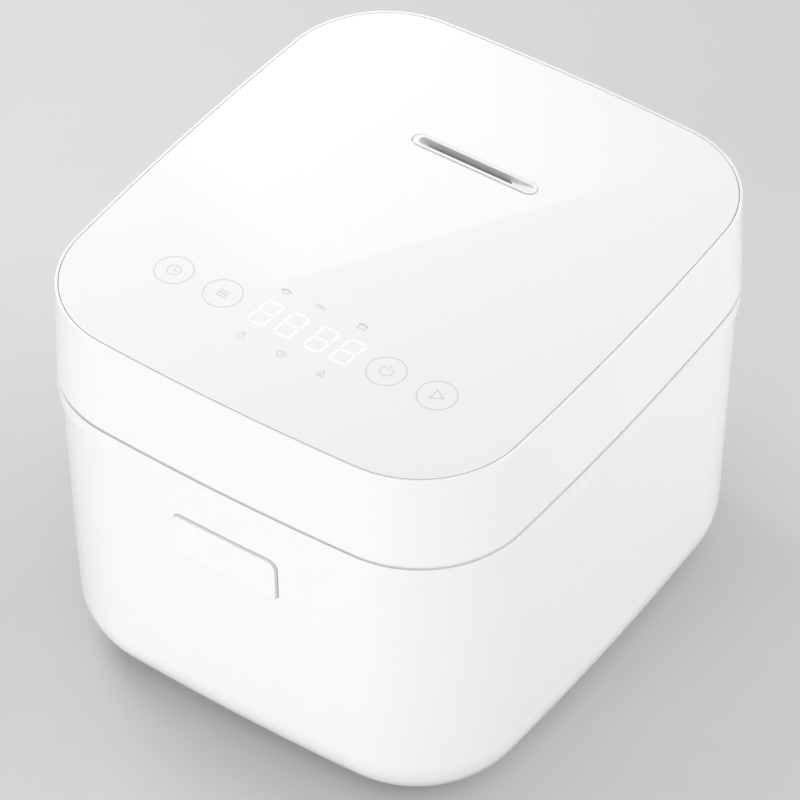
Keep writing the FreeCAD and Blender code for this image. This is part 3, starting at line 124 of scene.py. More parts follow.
@dataclass(frozen=True)
class Finish:
    """One procedural finish.

    Its pattern runs on object coordinates, in cells per metre. A painted shade, which darkens downwards in
    place of the shade in a recess, has its middle at level, in metres above the ground, and takes one cell
    to change.
    """

    name: str
    colour: Triple
    grain: Grain
    scale: float
    roughness: float = 0.4
    spread: float = 0.06
    tint: float = 0.03
    relief: float = 0.05
    metallic: float = 0.0
    coat: float = 0.0
    coat_roughness: float = 0.03
    transmission: float = 0.0
    subsurface: float = 0.0
    glow: float = 0.0
    accent: Triple | None = None
    level: float = 0.0

    made: ClassVar[dict[str, bpy.types.Material]] = {}
    octaves: ClassVar[dict[Grain, float]] = {
        Grain.PEEL: 1.0, Grain.MOULDED: 2.0, Grain.BRUSHED: 4.0, Grain.SOFT: 5.0, Grain.CAST: 6.0,
    }
    brushing: ClassVar[Triple] = (0.02, 1.0, 1.0)
    ring_wander: ClassVar[float] = 0.4
    track_gap: ClassVar[float] = 0.08
    track_shades: ClassVar[dict[str, float]] = {"Color1": 0.15, "Color2": 0.40, "Mortar": 1.0}
    shade_stops: ClassVar[Pair] = (0.25, 0.75)
    accent_stops: ClassVar[Pair] = (0.80, 0.86)
    handling_noise: ClassVar[Pair] = (38.0, 3.0)
    handling_range: ClassVar[Pair] = (0.3, 0.7)
    smoothest: ClassVar[float] = 0.02
    grain_depth: ClassVar[float] = 0.25
    refraction: ClassVar[float] = 1.49
    scatter: ClassVar[float] = 0.003

    def material(self) -> bpy.types.Material:
        """Builds the material on first use.

        Returns:
            The material with its node tree.
        """
        if self.name in Finish.made:
            return Finish.made[self.name]
        material = bpy.data.materials.new(self.name)
        material.use_nodes = True
        tree = material.node_tree
        shader = tree.nodes["Principled BSDF"]
        self._set_constants(shader)
        coords = tree.nodes.new("ShaderNodeTexCoord").outputs["Object"]
        pattern = self._pattern(tree, coords)
        tree.links.new(self._ramp(tree, pattern), shader.inputs["Base Color"])
        handled = self._noise(tree, coords, *self.handling_noise)
        rough = (max(self.smoothest, self.roughness - self.spread), self.roughness + self.spread)
        tree.links.new(map_range(tree, handled, self.handling_range, rough), shader.inputs["Roughness"])
        bump = tree.nodes.new("ShaderNodeBump")
        bump.inputs["Strength"].default_value = self.relief
        bump.inputs["Distance"].default_value = self.grain_depth / self.scale
        tree.links.new(pattern, bump.inputs["Height"])
        tree.links.new(bump.outputs["Normal"], shader.inputs["Normal"])
        Finish.made[self.name] = material
        return material

    def _set_constants(self, shader: bpy.types.Node) -> None:
        """Sets the values that are the same all over the surface.

        Args:
            shader: The principled shader of the material.
        """
        values = {
            "Metallic": self.metallic, "Coat Weight": self.coat, "Coat Roughness": self.coat_roughness,
            "Transmission Weight": self.transmission, "Subsurface Weight": self.subsurface,
            "Emission Strength": self.glow, "IOR": self.refraction,
        }
        for socket, value in values.items():
            shader.inputs[socket].default_value = value
        shader.inputs["Subsurface Radius"].default_value = (self.scatter,) * 3
        shader.inputs["Emission Color"].default_value = (1.0, 1.0, 1.0, 1.0)

    def _ramp(self, tree: bpy.types.NodeTree, pattern: bpy.types.NodeSocket) -> bpy.types.NodeSocket:
        """Turns the pattern into the finish's two shades.

        Args:
            tree: The material's node tree.
            pattern: The grey pattern to colour.

        Returns:
            The colour output.
        """
        ramp = tree.nodes.new("ShaderNodeValToRGB")
        low = [max(0.0, c * (1 - self.tint)) for c in self.colour]
        high = list(self.accent) if self.accent else [min(1.0, c * (1 + self.tint)) for c in self.colour]
        stops = ramp.color_ramp.elements
        stops[0].position, stops[1].position = self.accent_stops if self.accent else self.shade_stops
        stops[0].color, stops[1].color = (*low, 1.0), (*high, 1.0)
        tree.links.new(pattern, ramp.inputs["Fac"])
        return ramp.outputs["Color"]

    def _noise(self, tree: bpy.types.NodeTree, coords: bpy.types.NodeSocket, scale: float,
               detail: float) -> bpy.types.NodeSocket:
        """Adds a noise texture.

        Args:
            tree: The material's node tree.
            coords: The coordinates to read.
            scale: Cells per metre.
            detail: Octaves of detail.

        Returns:
            The grey output.
        """
        noise = tree.nodes.new("ShaderNodeTexNoise")
        noise.inputs["Scale"].default_value = scale
        noise.inputs["Detail"].default_value = detail
        tree.links.new(coords, noise.inputs["Vector"])
        return noise.outputs["Fac"]

    def _pattern(self, tree: bpy.types.NodeTree, coords: bpy.types.NodeSocket) -> bpy.types.NodeSocket:
        """Builds the grain's texture.

        Args:
            tree: The material's node tree.
            coords: Object coordinates.

        Returns:
            A grey socket from 0 to 1.
        """
        if self.grain is Grain.BRUSHED:
            stretch = tree.nodes.new("ShaderNodeMapping")
            stretch.inputs["Scale"].default_value = self.brushing
            tree.links.new(coords, stretch.inputs["Vector"])
            coords = stretch.outputs["Vector"]
        if self.grain is Grain.SPUN:
            rings = tree.nodes.new("ShaderNodeTexWave")
            rings.wave_type, rings.rings_direction = "RINGS", "Z"
            rings.inputs["Scale"].default_value = self.scale
            rings.inputs["Distortion"].default_value = self.ring_wander
            rings.inputs["Detail"].default_value = 0.0
            tree.links.new(coords, rings.inputs["Vector"])
            return rings.outputs["Fac"]
        if self.grain in (Grain.SPANGLE, Grain.FLECK):
            cells = tree.nodes.new("ShaderNodeTexVoronoi")
            cells.inputs["Scale"].default_value = self.scale
            tree.links.new(coords, cells.inputs["Vector"])
            if self.grain is Grain.SPANGLE:
                split = tree.nodes.new("ShaderNodeSeparateColor")
                tree.links.new(cells.outputs["Color"], split.inputs["Color"])
                return split.outputs["Red"]
            invert = tree.nodes.new("ShaderNodeMath")
            invert.operation = "SUBTRACT"
            invert.inputs[0].default_value = 1.0
            tree.links.new(cells.outputs["Distance"], invert.inputs[1])
            return invert.outputs["Value"]
        if self.grain is Grain.TRACKS:
            tracks = tree.nodes.new("ShaderNodeTexBrick")
            tracks.inputs["Scale"].default_value = self.scale
            tracks.inputs["Mortar Size"].default_value = self.track_gap
            for part, shade in self.track_shades.items():
                tracks.inputs[part].default_value = (shade, shade, shade, 1.0)
            tree.links.new(coords, tracks.inputs["Vector"])
            return tracks.outputs["Color"]
        # Painted shade: the colour darkens below level, in place of the shade inside a recess.
        if self.grain is Grain.PAINTED_SHADE_DOWNWARDS:
            split = tree.nodes.new("ShaderNodeSeparateXYZ")
            tree.links.new(coords, split.inputs["Vector"])
            reach = 0.5 / self.scale
            return map_range(tree, split.outputs["Z"], (self.level - reach, self.level + reach))
        return self._noise(tree, coords, self.scale, self.octaves[self.grain])


WHITE_GLOSS = Finish("white gloss plastic", (0.86, 0.86, 0.86), Grain.PEEL, 320.0, roughness=0.16,
                     spread=0.03, tint=0.006, relief=0.012, coat=0.7, coat_roughness=0.02)
PANEL_GLOSS = Finish("white panel gloss", (0.86, 0.86, 0.86), Grain.PEEL, 240.0, roughness=0.035,
                     spread=0.006, tint=0.004, relief=0.001, coat=1.0, coat_roughness=0.01)
WHITE_MATTE = Finish("white satin plastic", (0.80, 0.80, 0.79), Grain.MOULDED, 2600.0, roughness=0.42,
                     tint=0.012, relief=0.10)
GREY_PLASTIC = Finish("grey moulded plastic", (0.34, 0.34, 0.35), Grain.MOULDED, 2200.0, roughness=0.5,
                      tint=0.05, relief=0.14)
BLACK_PLASTIC = Finish("black moulded plastic", (0.025, 0.025, 0.027), Grain.MOULDED, 1900.0,
                       roughness=0.42, tint=0.12, relief=0.16)
SMOKED_PLASTIC = Finish("smoked clear plastic", (0.42, 0.43, 0.45), Grain.PEEL, 260.0, roughness=0.14,
                        tint=0.02, relief=0.02, transmission=0.6)
RUBBER = Finish("dark rubber", (0.05, 0.05, 0.052), Grain.SOFT, 900.0, roughness=0.78, tint=0.18,
                relief=0.22)
SILICONE = Finish("pale silicone", (0.66, 0.66, 0.64), Grain.SOFT, 700.0, roughness=0.46, tint=0.04,
                  relief=0.06, subsurface=0.25)
BOARD_GREEN = Finish("green circuit board", (0.02, 0.10, 0.045), Grain.TRACKS, 42.0, roughness=0.35,
                     tint=0.1, relief=0.25, accent=(0.06, 0.22, 0.09))
STEEL = Finish("bright steel", (0.62, 0.62, 0.62), Grain.BRUSHED, 3200.0, roughness=0.28, tint=0.08,
               relief=0.06, metallic=1.0)
ZINC_SHEET = Finish("zinc plated sheet", (0.60, 0.61, 0.62), Grain.SPANGLE, 170.0, roughness=0.40,
                    tint=0.12, relief=0.02, metallic=1.0)
CAST_ALUMINIUM = Finish("cast aluminium", (0.63, 0.63, 0.64), Grain.CAST, 900.0, roughness=0.44, tint=0.08,
                        relief=0.18, metallic=1.0)
SPUN_METAL = Finish("spun aluminium", (0.72, 0.72, 0.73), Grain.SPUN, 240.0, roughness=0.34, spread=0.012,
                    tint=0.05, relief=0.035, metallic=1.0)
POT_COATING = Finish("flecked non-stick coating", (0.055, 0.056, 0.058), Grain.FLECK, 620.0, roughness=0.38,
                     tint=0.1, relief=0.03, accent=(0.20, 0.20, 0.21))
POT_OUTSIDE = Finish("dark anodised pot", (0.20, 0.20, 0.21), Grain.SPUN, 300.0, roughness=0.34, tint=0.08,
                     relief=0.04, metallic=0.8)
PLATED_PINS = Finish("nickel plated brass", (0.66, 0.60, 0.46), Grain.BRUSHED, 2400.0, roughness=0.25,
                     tint=0.06, relief=0.05, metallic=1.0)
# Painted shade: the vent's steep inner walls are coloured to darken downwards, standing in for the shade
# inside the slot.
VENT_PAINTED_SHADE = Finish("shaded vent throat", (0.66, 0.66, 0.66), Grain.PAINTED_SHADE_DOWNWARDS, 180.0, roughness=0.45,
                     tint=0.30, relief=0.0, level=0.2160)
PRINT_GREY = Finish("grey panel print", (0.60, 0.60, 0.61), Grain.MOULDED, 2400.0, roughness=0.35,
                    tint=0.03, relief=0.02)
POT_PRINT = Finish("pale pot print", (0.58, 0.58, 0.58), Grain.MOULDED, 2000.0, roughness=0.5, tint=0.04,
                   relief=0.05)
DIGIT_LIGHT = Finish("lit white digits", (0.90, 0.90, 0.90), Grain.SOFT, 400.0, roughness=0.25, tint=0.004,
                     relief=0.0, glow=0.03)
PALE_FLOOR = Finish("pale studio floor", (0.60, 0.60, 0.61), Grain.SOFT, 6.0, roughness=0.72, tint=0.012,
                    relief=0.01)

SLOT_FINISHES: dict[str, Finish] = {
    "white_gloss": WHITE_GLOSS, "panel_gloss": PANEL_GLOSS, "white_matte": WHITE_MATTE,
    "grey_plastic": GREY_PLASTIC, "black_plastic": BLACK_PLASTIC, "clear_grey_plastic": SMOKED_PLASTIC,
    "rubber_dark": RUBBER, "silicone": SILICONE, "board_green": BOARD_GREEN, "steel": STEEL,
    "zinc_sheet": ZINC_SHEET, "cast_aluminium": CAST_ALUMINIUM, "inner_lid_metal": SPUN_METAL,
    "pot_coating": POT_COATING, "brass_pins": PLATED_PINS,
}


def rounded(corners: Sequence[Triple], closed: bool = True, steps: int = 5) -> list[Pair]:
    """Rounds the corners of a profile.

    Args:
        corners: Two coordinates and a radius for each corner.
        closed: Whether the last corner joins the first.
        steps: Steps in each rounding arc.

    Returns:
        The points of the profile, with the first repeated at the end if it is closed.
    """
    points: list[Pair] = []
    count = len(corners)
    for i, (x, y, radius) in enumerate(corners):
        at_end = not closed and i in (0, count - 1)
        if radius <= 0 or at_end:
            points.append((x, y))
            continue
        here = Vector((x, y))
        before = (here - Vector(corners[i - 1][:2])).normalized()
        after = (Vector(corners[(i + 1) % count][:2]) - here).normalized()
        turn = math.atan2(before.x * after.y - before.y * after.x, before.dot(after))
        start = here - before * radius * math.tan(abs(turn) / 2)
        side = math.copysign(1.0, turn)
        centre = start + Vector((-before.y, before.x)) * radius * side
        arm = start - centre
        for step in range(steps + 1):
            swung = Matrix.Rotation(turn * step / steps, 2) @ arm
            points.append((centre.x + swung.x, centre.y + swung.y))
    if closed:
        points.append(points[0])
    return points


def mirrored(x: float, y: float) -> tuple[Pair, ...]:
    """The four places at plus and minus x and y."""
    return tuple((sx * x, sy * y) for sx in (-1, 1) for sy in (-1, 1))


def edges_at(verts: Iterable[BMVert]) -> list[BMEdge]:
    """The edges that end at vertices, each once and in a fixed order."""
    return list(dict.fromkeys(edge for vert in verts for edge in vert.link_edges))


class Blank:
    """A mesh in the making: a bmesh in millimetres that ends as one object in metres."""

    def __init__(self, name: str) -> None:
        """Starts an empty mesh under the piece's name.

        Args:
            name: Name of the piece.
        """
        self.name = name
        self.bm = bmesh.new()
        self.outward = self.bm.verts.layers.float_vector.new("outward")

    def point(self, x: float, y: float, z: float) -> BMVert:
        """Adds one vertex."""
        return self.bm.verts.new((x, y, z))

    def spin(self, geom: Sequence[Element], centre: Triple, axis: Triple, sweep: float, steps: int,
             merge: bool = False, climb: Triple = (0.0, 0.0, 0.0)) -> list[Element]:
        """Spins vertices, edges or faces about an axis.

        Args:
            geom: What is spun.
            centre: A point on the axis.
            axis: Direction of the axis.
            sweep: Angle in radians.
            steps: Steps in the sweep.
            merge: Whether the last step joins the first.
            climb: Shift at each step.

        Returns:
            What the last step made.
        """
        return bmesh.ops.spin(self.bm, geom=list(geom), cent=centre, axis=axis, dvec=climb, angle=sweep,
                              steps=steps, use_merge=merge, use_duplicate=False)["geom_last"]

    def arc(self, start: BMVert, centre: Triple, axis: Triple, sweep: float, steps: int) -> list[BMVert]:
        """Spins a vertex into a chain of edges.

        Args:
            start: The vertex at the start of the arc.
            centre: Centre of the arc.
            axis: Axis of the spin.
            sweep: Angle in radians.
            steps: Edges in the arc.

        Returns:
            The vertices of the chain in order.
        """
        known = len(self.bm.verts)
        self.spin([start], centre, axis, sweep, steps)
        self.bm.verts.ensure_lookup_table()
        chain = [start] + self.bm.verts[known:]
        for vert in chain:
            vert[self.outward] = (vert.co - Vector(centre)).normalized()
        return chain

    def stadium(self, span: Pair, width: float, y: float, z: float, steps: int = 12) -> list[BMEdge]:
        """Draws a level loop with straight sides along X and round ends.

        Args:
            span: Where it starts and ends along X.
            width: Overall width.
            y: Middle of the loop.
            z: Height of the loop.
            steps: Edges in each round end.

        Returns:
            The loop's edges.
        """
        r = width / 2
        start, end = span[0] + r, span[1] - r
        right = self.arc(self.point(end, y - r, z), (end, y, z), UP, math.pi, steps)
        left = self.arc(self.point(start, y + r, z), (start, y, z), UP, math.pi, steps)
        self.bm.edges.new((right[-1], left[0]))
        self.bm.edges.new((left[-1], right[0]))
        return edges_at(right + left)

    def sweep(self, edges: Sequence[BMEdge], stations: Sequence[Pair]) -> list[BMEdge]:
        """Extrudes a level loop through stations of inset and height.

        Args:
            edges: The loop, drawn at the first station.
            stations: Inset and height of each step.

        Returns:
            The last loop's edges.
        """
        loop = list(edges)
        for (inset, _), (next_inset, height) in zip(stations, stations[1:]):
            made = bmesh.ops.extrude_edge_only(self.bm, edges=loop)["geom"]
            loop = [g for g in made if isinstance(g, BMEdge) and g.is_boundary]
            for vert in (g for g in made if isinstance(g, BMVert)):
                vert.co -= Vector(vert[self.outward]) * (next_inset - inset)
                vert.co.z = height
        return loop

    def bridge(self, *loops: Sequence[BMEdge]) -> None:
        """Joins loops with the same number of edges, one after the other."""
        for first, second in zip(loops, loops[1:]):
            bmesh.ops.bridge_loops(self.bm, edges=[*first, *second])

    def fill(self, *loops: Sequence[BMEdge]) -> None:
        """Fills the level face inside the first loop and outside the others."""
        bmesh.ops.triangle_fill(self.bm, use_beauty=True, edges=[edge for loop in loops for edge in loop])

    def turn(self, profile: Sequence[Pair], steps: int = 96, place: Pair = (0.0, 0.0)) -> None:
        """Turns a profile of radius and height about an upright axis.

        Args:
            profile: Radius and height of each point.
            steps: Steps in the full turn.
            place: Where the axis stands.
        """
        x, y = place
        verts = [self.point(x + radius, y, z) for radius, z in profile]
        edges = [self.bm.edges.new(pair) for pair in zip(verts, verts[1:])]
        self.spin([*verts, *edges], (x, y, 0.0), UP, TURN, steps, merge=True)

    def block(self, low: Triple, high: Triple) -> list[BMVert]:
        """Adds a box between two corners.

        Args:
            low: Lowest corner.
            high: Highest corner.

        Returns:
            The box's vertices.
        """
        size, middle = Vector(high) - Vector(low), (Vector(high) + Vector(low)) / 2
        matrix = Matrix.Translation(middle) @ Matrix.Diagonal((*size, 1.0))
        return bmesh.ops.create_cube(self.bm, size=1.0, matrix=matrix)["verts"]

    def soften(self, edges: Iterable[BMEdge], radius: float, segments: int) -> None:
        """Rounds edges with a bevel."""
        bmesh.ops.bevel(self.bm, geom=list(edges), offset=radius, segments=segments, profile=0.5,
                        material=-1, affect="EDGES", offset_type="OFFSET", clamp_overlap=True)

    def arch(self, half: float, axis: Pair, radius: float, low: float, steps: int) -> None:
        """Adds a bar along X with straight sides and a round top.

        Args:
            half: Half of its length.
            axis: Place along Y and height of the round top's axis.
            radius: Radius of the top.
            low: Height of its underside.
            steps: Steps in the round top.
        """
        y, z = axis
        chain = self.arc(self.point(-half, y + radius, z), (-half, y, z), ALONG_X, math.pi, steps)
        feet = [self.point(-half, vert.co.y, low) for vert in (chain[-1], chain[0])]
        self.extrude_faces([self.bm.faces.new([*chain, *feet])], (2 * half, 0, 0))

    def rounded_block(self, low: Triple, high: Triple, upper: float, lower: float,
                      segments: int = 10) -> set[BMVert]:
        """Adds a box whose four edges along Y are rounded.

        Args:
            low: Lowest corner.
            high: Highest corner.
            upper: Radius of the two upper edges.
            lower: Radius of the two lower edges.
            segments: Steps in each corner.

        Returns:
            The vertices of the block.
        """
        known = set(self.bm.verts)
        verts = self.block(low, high)
        middle = (low[2] + high[2]) / 2
        for radius, above in ((upper, True), (lower, False)):
            edges = edges_at(vert for vert in verts if vert.is_valid)
            self.soften([edge for edge in edges if self.runs_along_y(edge)
                         and all((vert.co.z > middle) == above for vert in edge.verts)], radius, segments)
        return set(self.bm.verts) - known

    @staticmethod
    def runs_along_y(edge: BMEdge, share: float = 0.99) -> bool:
        """Whether at least this share of an edge's direction is along Y."""
        first, second = edge.verts
        return abs((first.co - second.co).normalized().y) > share

    def extrude_faces(self, faces: Sequence[BMFace], shift: Triple) -> None:
        """Gives flat faces a thickness, with their undersides kept."""
        made = bmesh.ops.extrude_face_region(self.bm, geom=list(faces), use_keep_orig=True)["geom"]
        bmesh.ops.translate(self.bm, vec=shift, verts=[g for g in made if isinstance(g, BMVert)])

    def to_object(self) -> bpy.types.Object:
        """Closes the mesh and makes it an object in metres.

        Returns:
            The linked object, at the origin.
        """
        bmesh.ops.remove_doubles(self.bm, verts=self.bm.verts, dist=WELD)
        bmesh.ops.recalc_face_normals(self.bm, faces=self.bm.faces)
        bmesh.ops.scale(self.bm, vec=(MM, MM, MM), verts=self.bm.verts)
        mesh = bpy.data.meshes.new(self.name)
        self.bm.to_mesh(mesh)
        self.bm.free()
        mesh.attributes.remove(mesh.attributes["outward"])
        made = bpy.data.objects.new(self.name, mesh)
        bpy.context.scene.collection.objects.link(made)
        return made


def carve(piece: bpy.types.Object, tool: bpy.types.Object, cut: Cut = Cut.TAKE_AWAY) -> None:
    """Combines a piece with a tool mesh, and removes the tool.

    Args:
        piece: The mesh to change.
        tool: The closed mesh to cut with.
        cut: Whether the tool is taken away or the common part is kept.
    """
    modifier = piece.modifiers.new("carve", "BOOLEAN")
    modifier.operation, modifier.solver, modifier.object = cut.value, "EXACT", tool
    graph = bpy.context.evaluated_depsgraph_get()
    shaped = bpy.data.meshes.new_from_object(piece.evaluated_get(graph))
    piece.modifiers.clear()
    rough, tool_mesh = piece.data, tool.data
    piece.data = shaped
    bpy.data.objects.remove(tool)
    for mesh in (rough, tool_mesh):
        bpy.data.meshes.remove(mesh)
    shaped.name = piece.name


def dress(piece: bpy.types.Object, body: str, finishes: Sequence[Finish],
          replaces: Sequence[str] = (), edge: float = 0.0, sharp: float = 34.0) -> bpy.types.Object:
    """Gives a piece its shading and finishes, and sets it on its body.

    Args:
        piece: The finished mesh.
        body: The body it rides on.
        finishes: The finishes in order of the mesh's material numbers.
        replaces: The nodes that it stands for.
        edge: Radius for its sharp edges in millimetres, or 0.
        sharp: Edges that turn more than this many degrees stay sharp.

    Returns:
        The piece.
    """
    numbers = [face.material_index for face in piece.data.polygons]
    piece.data.materials.clear()
    for finish in finishes:
        piece.data.materials.append(finish.material())
    piece.data.polygons.foreach_set("material_index", numbers)
    piece.data.shade_smooth()
    piece.data.set_sharp_from_angle(angle=math.radians(sharp))
    if edge > 0:
        bevel = piece.modifiers.new("soft edges", "BEVEL")
        bevel.width, bevel.segments, bevel.limit_method = edge * MM, EDGE_STEPS, "ANGLE"
        bevel.angle_limit = math.radians(sharp)
        bevel.harden_normals = False
    weighted = piece.modifiers.new("weighted shading", "WEIGHTED_NORMAL")
    weighted.keep_sharp = edge <= 0
    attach(piece, body)
    if replaces:
        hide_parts(*replaces)
    log.info("%s: %d faces on %s", piece.name, len(piece.data.polygons), body)
    return piece


@dataclass(frozen=True)
class PlanOutline:
    """The cooker in plan: four bowed sides joined by tangent corner arcs."""

    corner: float
    width: float = 250.0
    depth: float = 280.7
    side_bow: float = 1800.0
    end_bow: float = 1400.0
    corner_steps: int = 20
    side_steps: int = 16

    def corner_centre(self) -> Vector:
        """Finds the centre of the back right corner's arc.

        Returns:
            Its place in plan.
        """
        side = Vector((self.width / 2 - self.side_bow, 0.0))
        end = Vector((0.0, self.depth / 2 - self.end_bow))
        side_r, end_r = self.side_bow - self.corner, self.end_bow - self.corner
        span = end - side
        along = (side_r ** 2 - end_r ** 2 + span.length_squared) / (2 * span.length)
        across = math.sqrt(side_r ** 2 - along ** 2)
        ahead = span.normalized()
        return side + ahead * along + Vector((-ahead.y, ahead.x)) * across

    def draw(self, blank: Blank, inset: float, z: float) -> list[BMEdge]:
        """Draws the outline as one closed loop.

        Args:
            blank: The mesh to draw in.
            inset: Distance inside the full outline.
            z: Height of the loop.

        Returns:
            The loop's edges.
        """
        middle = self.corner_centre()
        side_x, end_y = self.width / 2 - self.side_bow, self.depth / 2 - self.end_bow
        lean = math.atan2(middle.y, middle.x - side_x)
        rise = math.atan2(middle.y - end_y, middle.x)
        end_lean = math.pi / 2 - rise
        corner_sweep = rise - lean
        side, end = (2 * lean, self.side_steps), (2 * end_lean, self.side_steps)
        bend = (corner_sweep, self.corner_steps)
        arcs = [
            ((side_x, 0.0), side), ((middle.x, middle.y), bend),
            ((0.0, end_y), end), ((-middle.x, middle.y), bend),
            ((-side_x, 0.0), side), ((-middle.x, -middle.y), bend),
            ((0.0, -end_y), end), ((middle.x, -middle.y), bend),
        ]
        reach = self.side_bow - inset
        first = here = blank.point(side_x + reach * math.cos(lean), -reach * math.sin(lean), z)
        ring: list[BMVert] = []
        for centre, (sweep, steps) in arcs:
            chain = blank.arc(here, (*centre, z), UP, sweep, steps)
            ring += chain[:-1]
            here = chain[-1]
        bmesh.ops.weld_verts(blank.bm, targetmap={here: first})
        return edges_at(ring)

    def ring(self, name: str, corners: Sequence[Triple]) -> Blank:
        """Sweeps a closed profile round the outline.

        Args:
            name: Name of the piece.
            corners: Inset, height and radius of each corner of the profile.

        Returns:
            The mesh in the making.
        """
        blank = Blank(name)
        stations = rounded(corners)
        blank.sweep(self.draw(blank, *stations[0]), stations)
        return blank


LID_PLAN = PlanOutline(corner=55.9)
BODY_PLAN = PlanOutline(corner=61.3)


@dataclass
class Lid:
    """The lid's outer wall, its top panel and the steam vent.

    The ledge has a width and a thickness, the slot a half length and a width, the mouth a start, an end and
    a width, and the ramp a run at its left and right end and a drop.
    """

    low: float = 168.7
    low_edge: float = 0.7
    top_edge: float = 0.3
    top: float = 220.0
    lean: float = 1.96
    wall: float = 2.4
    rim: float = 1.4
    rim_edge: float = 0.35
    ledge: Pair = (6.0, 2.5)
    ledge_edge: float = 0.3
    inner_edge: float = 0.5
    panel: float = 2.2
    panel_gap: float = 0.3
    panel_edge: float = 0.3
    panel_border: float = 2.0
    slot: Pair = (34.5, 8.6)
    slot_y: float = 58.7
    slot_gap: float = 0.55
    slot_fit: float = 0.05
    slot_edge: float = 0.25
    slot_border: float = 1.0
    groove: float = 0.9
    vent_shift: Pair = (0.1, 0.35)
    vent_up: float = 0.25
    vent_edge: float = 0.4
    vent_border: float = 0.5
    vent_sharp: float = 50.0
    mouth_edge: float = 0.8
    vent_depth: float = 9.0
    mouth: Triple = (-30.9, 32.35, 4.5)
    mouth_back: float = 0.55
    ramp: Triple = (2.6, 12.3, 3.4)
    ramp_steep: float = 0.35
    throat_slope: float = 2.5
    hinge: Pair = (131.0, 177.5)
    hinge_clear: float = 13.4
    hinge_half: float = 55.6
    hinge_drop: float = 10.0
    hinge_steps: int = 32

    def build(self) -> None:
        """Makes the wall, the panel and the vent."""
        dress(self.wall_piece(), "lid", [WHITE_GLOSS], ["lid_shell"])
        dress(self.panel_piece(), "lid", [PANEL_GLOSS], ["top_panel"])
        vent = self.vent_piece()
        # The steep inner walls of the vent's recess take the painted shade finish, in place of the shade
        # that falls there.
        middle, reach = self.slot_y + self.mouth_back, self.mouth[2] / 2 + self.slot_fit
        for face in vent.data.polygons:
            inside = abs(face.center.y / MM - middle) < reach
            steep = abs(face.normal.z) < self.ramp_steep and face.center.z / MM < self.top - self.mouth_edge
            face.material_index = int(inside and steep)
        dress(vent, "lid", [WHITE_GLOSS, VENT_PAINTED_SHADE], ["vent_insert"], sharp=self.vent_sharp)

    def wall_piece(self) -> bpy.types.Object:
        """Sweeps the wall with its rim and ledge, and opens it round the hinge.

        Returns:
            The lid's wall.
        """
        pocket = self.lean + self.rim
        seat = self.top - self.panel
        ledge_end = pocket + self.ledge[0]
        under = seat - self.ledge[1]
        inner_top = self.wall + self.lean * (under - self.low) / (self.top - self.low)
        blank = LID_PLAN.ring("lid_wall", [
            (0.0, self.low, self.low_edge), (self.lean, self.top, self.top_edge),
            (pocket, self.top, self.rim_edge), (pocket, seat, 0.0),
            (ledge_end, seat, self.ledge_edge), (ledge_end, under, self.ledge_edge),
            (inner_top, under, 0.0), (self.wall, self.low, self.inner_edge),
        ])
        piece = blank.to_object()
        carve(piece, self.hinge_room())
        return piece

    def hinge_room(self) -> bpy.types.Object:
        """Makes the space round the hinge barrel that the wall keeps clear of.

        Returns:
            The solid to cut with.
        """
        blank = Blank("hinge_room")
        under = self.low - self.hinge_drop
        blank.arch(self.hinge_half, self.hinge, self.hinge_clear, under, self.hinge_steps)
        return blank.to_object()

    def panel_piece(self) -> bpy.types.Object:
        """Makes the flat panel with its softened edge and the slot.

        Returns:
            The panel.
        """
        inset = self.lean + self.rim + self.panel_gap
        low = self.top - self.panel
        blank = Blank("panel_plate")
        rise = rounded([(inset, low, 0), (inset, self.top, self.panel_edge),
                        (inset + self.panel_border, self.top, 0)], closed=False)
        under = LID_PLAN.draw(blank, *rise[0])
        over = blank.sweep(under, rise)
        lip = rounded([(0.0, low, 0), (0.0, self.top, self.slot_edge), (-self.slot_border, self.top, 0)],
                      closed=False)
        slot_half, slot_width = self.slot
        slot_under = blank.stadium((-slot_half, slot_half), slot_width, self.slot_y, low)
        slot_over = blank.sweep(slot_under, lip)
        blank.fill(over, slot_over)
        blank.fill(under, slot_under)
        return blank.to_object()

    def vent_piece(self) -> bpy.types.Object:
        """Makes the vent's lip, which stands a little proud, and its recess with ramps at both ends.

        Returns:
            The vent.
        """
        top = self.top + self.vent_up
        low = top - self.vent_depth
        half, width = (size - gap for size, gap in zip(self.slot, (self.slot_gap, 2 * self.slot_gap)))
        start, end, opening = self.mouth
        left, right, drop = self.ramp
        y = self.slot_y + self.mouth_back
        blank = Blank("vent_liner")
        aside, behind = self.vent_shift
        bed = self.top - self.groove
        full = [size - fit for size, fit in zip(self.slot, (self.slot_fit, 2 * self.slot_fit))]
        skirt = blank.stadium((-full[0], full[0]), full[1], self.slot_y, low)
        shoulder = blank.sweep(skirt, [(0, low), (0, bed)])
        neck = blank.stadium((aside - half, aside + half), width, self.slot_y + behind, bed)
        outer = blank.sweep(neck, rounded([(0, bed, 0), (0, top, self.vent_edge),
                                           (self.vent_border, top, 0)], closed=False))
        brink = top - 2 * self.mouth_edge
        mouth = blank.stadium((start, end), opening, y, brink)
        edge = blank.sweep(mouth, rounded([(0, brink, 0), (0, top, self.mouth_edge),
                                           (-self.mouth_edge, top, 0)], closed=False))
        shelf = blank.stadium((start + left, end - right), opening, y, top - drop)
        throat = blank.stadium((start + left + self.throat_slope, end - right), opening, y, low)
        blank.bridge(shoulder, neck)
        blank.bridge(outer, edge)
        blank.bridge(mouth, shelf, throat, skirt)
        return blank.to_object()


@dataclass(frozen=True)
class Bow:
    """A round stroke of a mark: its centre from the mark's middle, first angle and sweep in degrees."""

    centre: Pair = (0.0, 0.0)
    radius: float = 1.0
    start: float = 0.0
    sweep: float = 360.0


@dataclass(frozen=True)
class Dash:
    """A straight stroke of a mark between two points, measured from the mark's middle."""

    start: Pair
    end: Pair
    width: float = 0.0


# The two left tips of a triangle that points to the right in a circle of radius 1.
TIP_X = -0.5
TIP_Y = math.sqrt(3) / 2


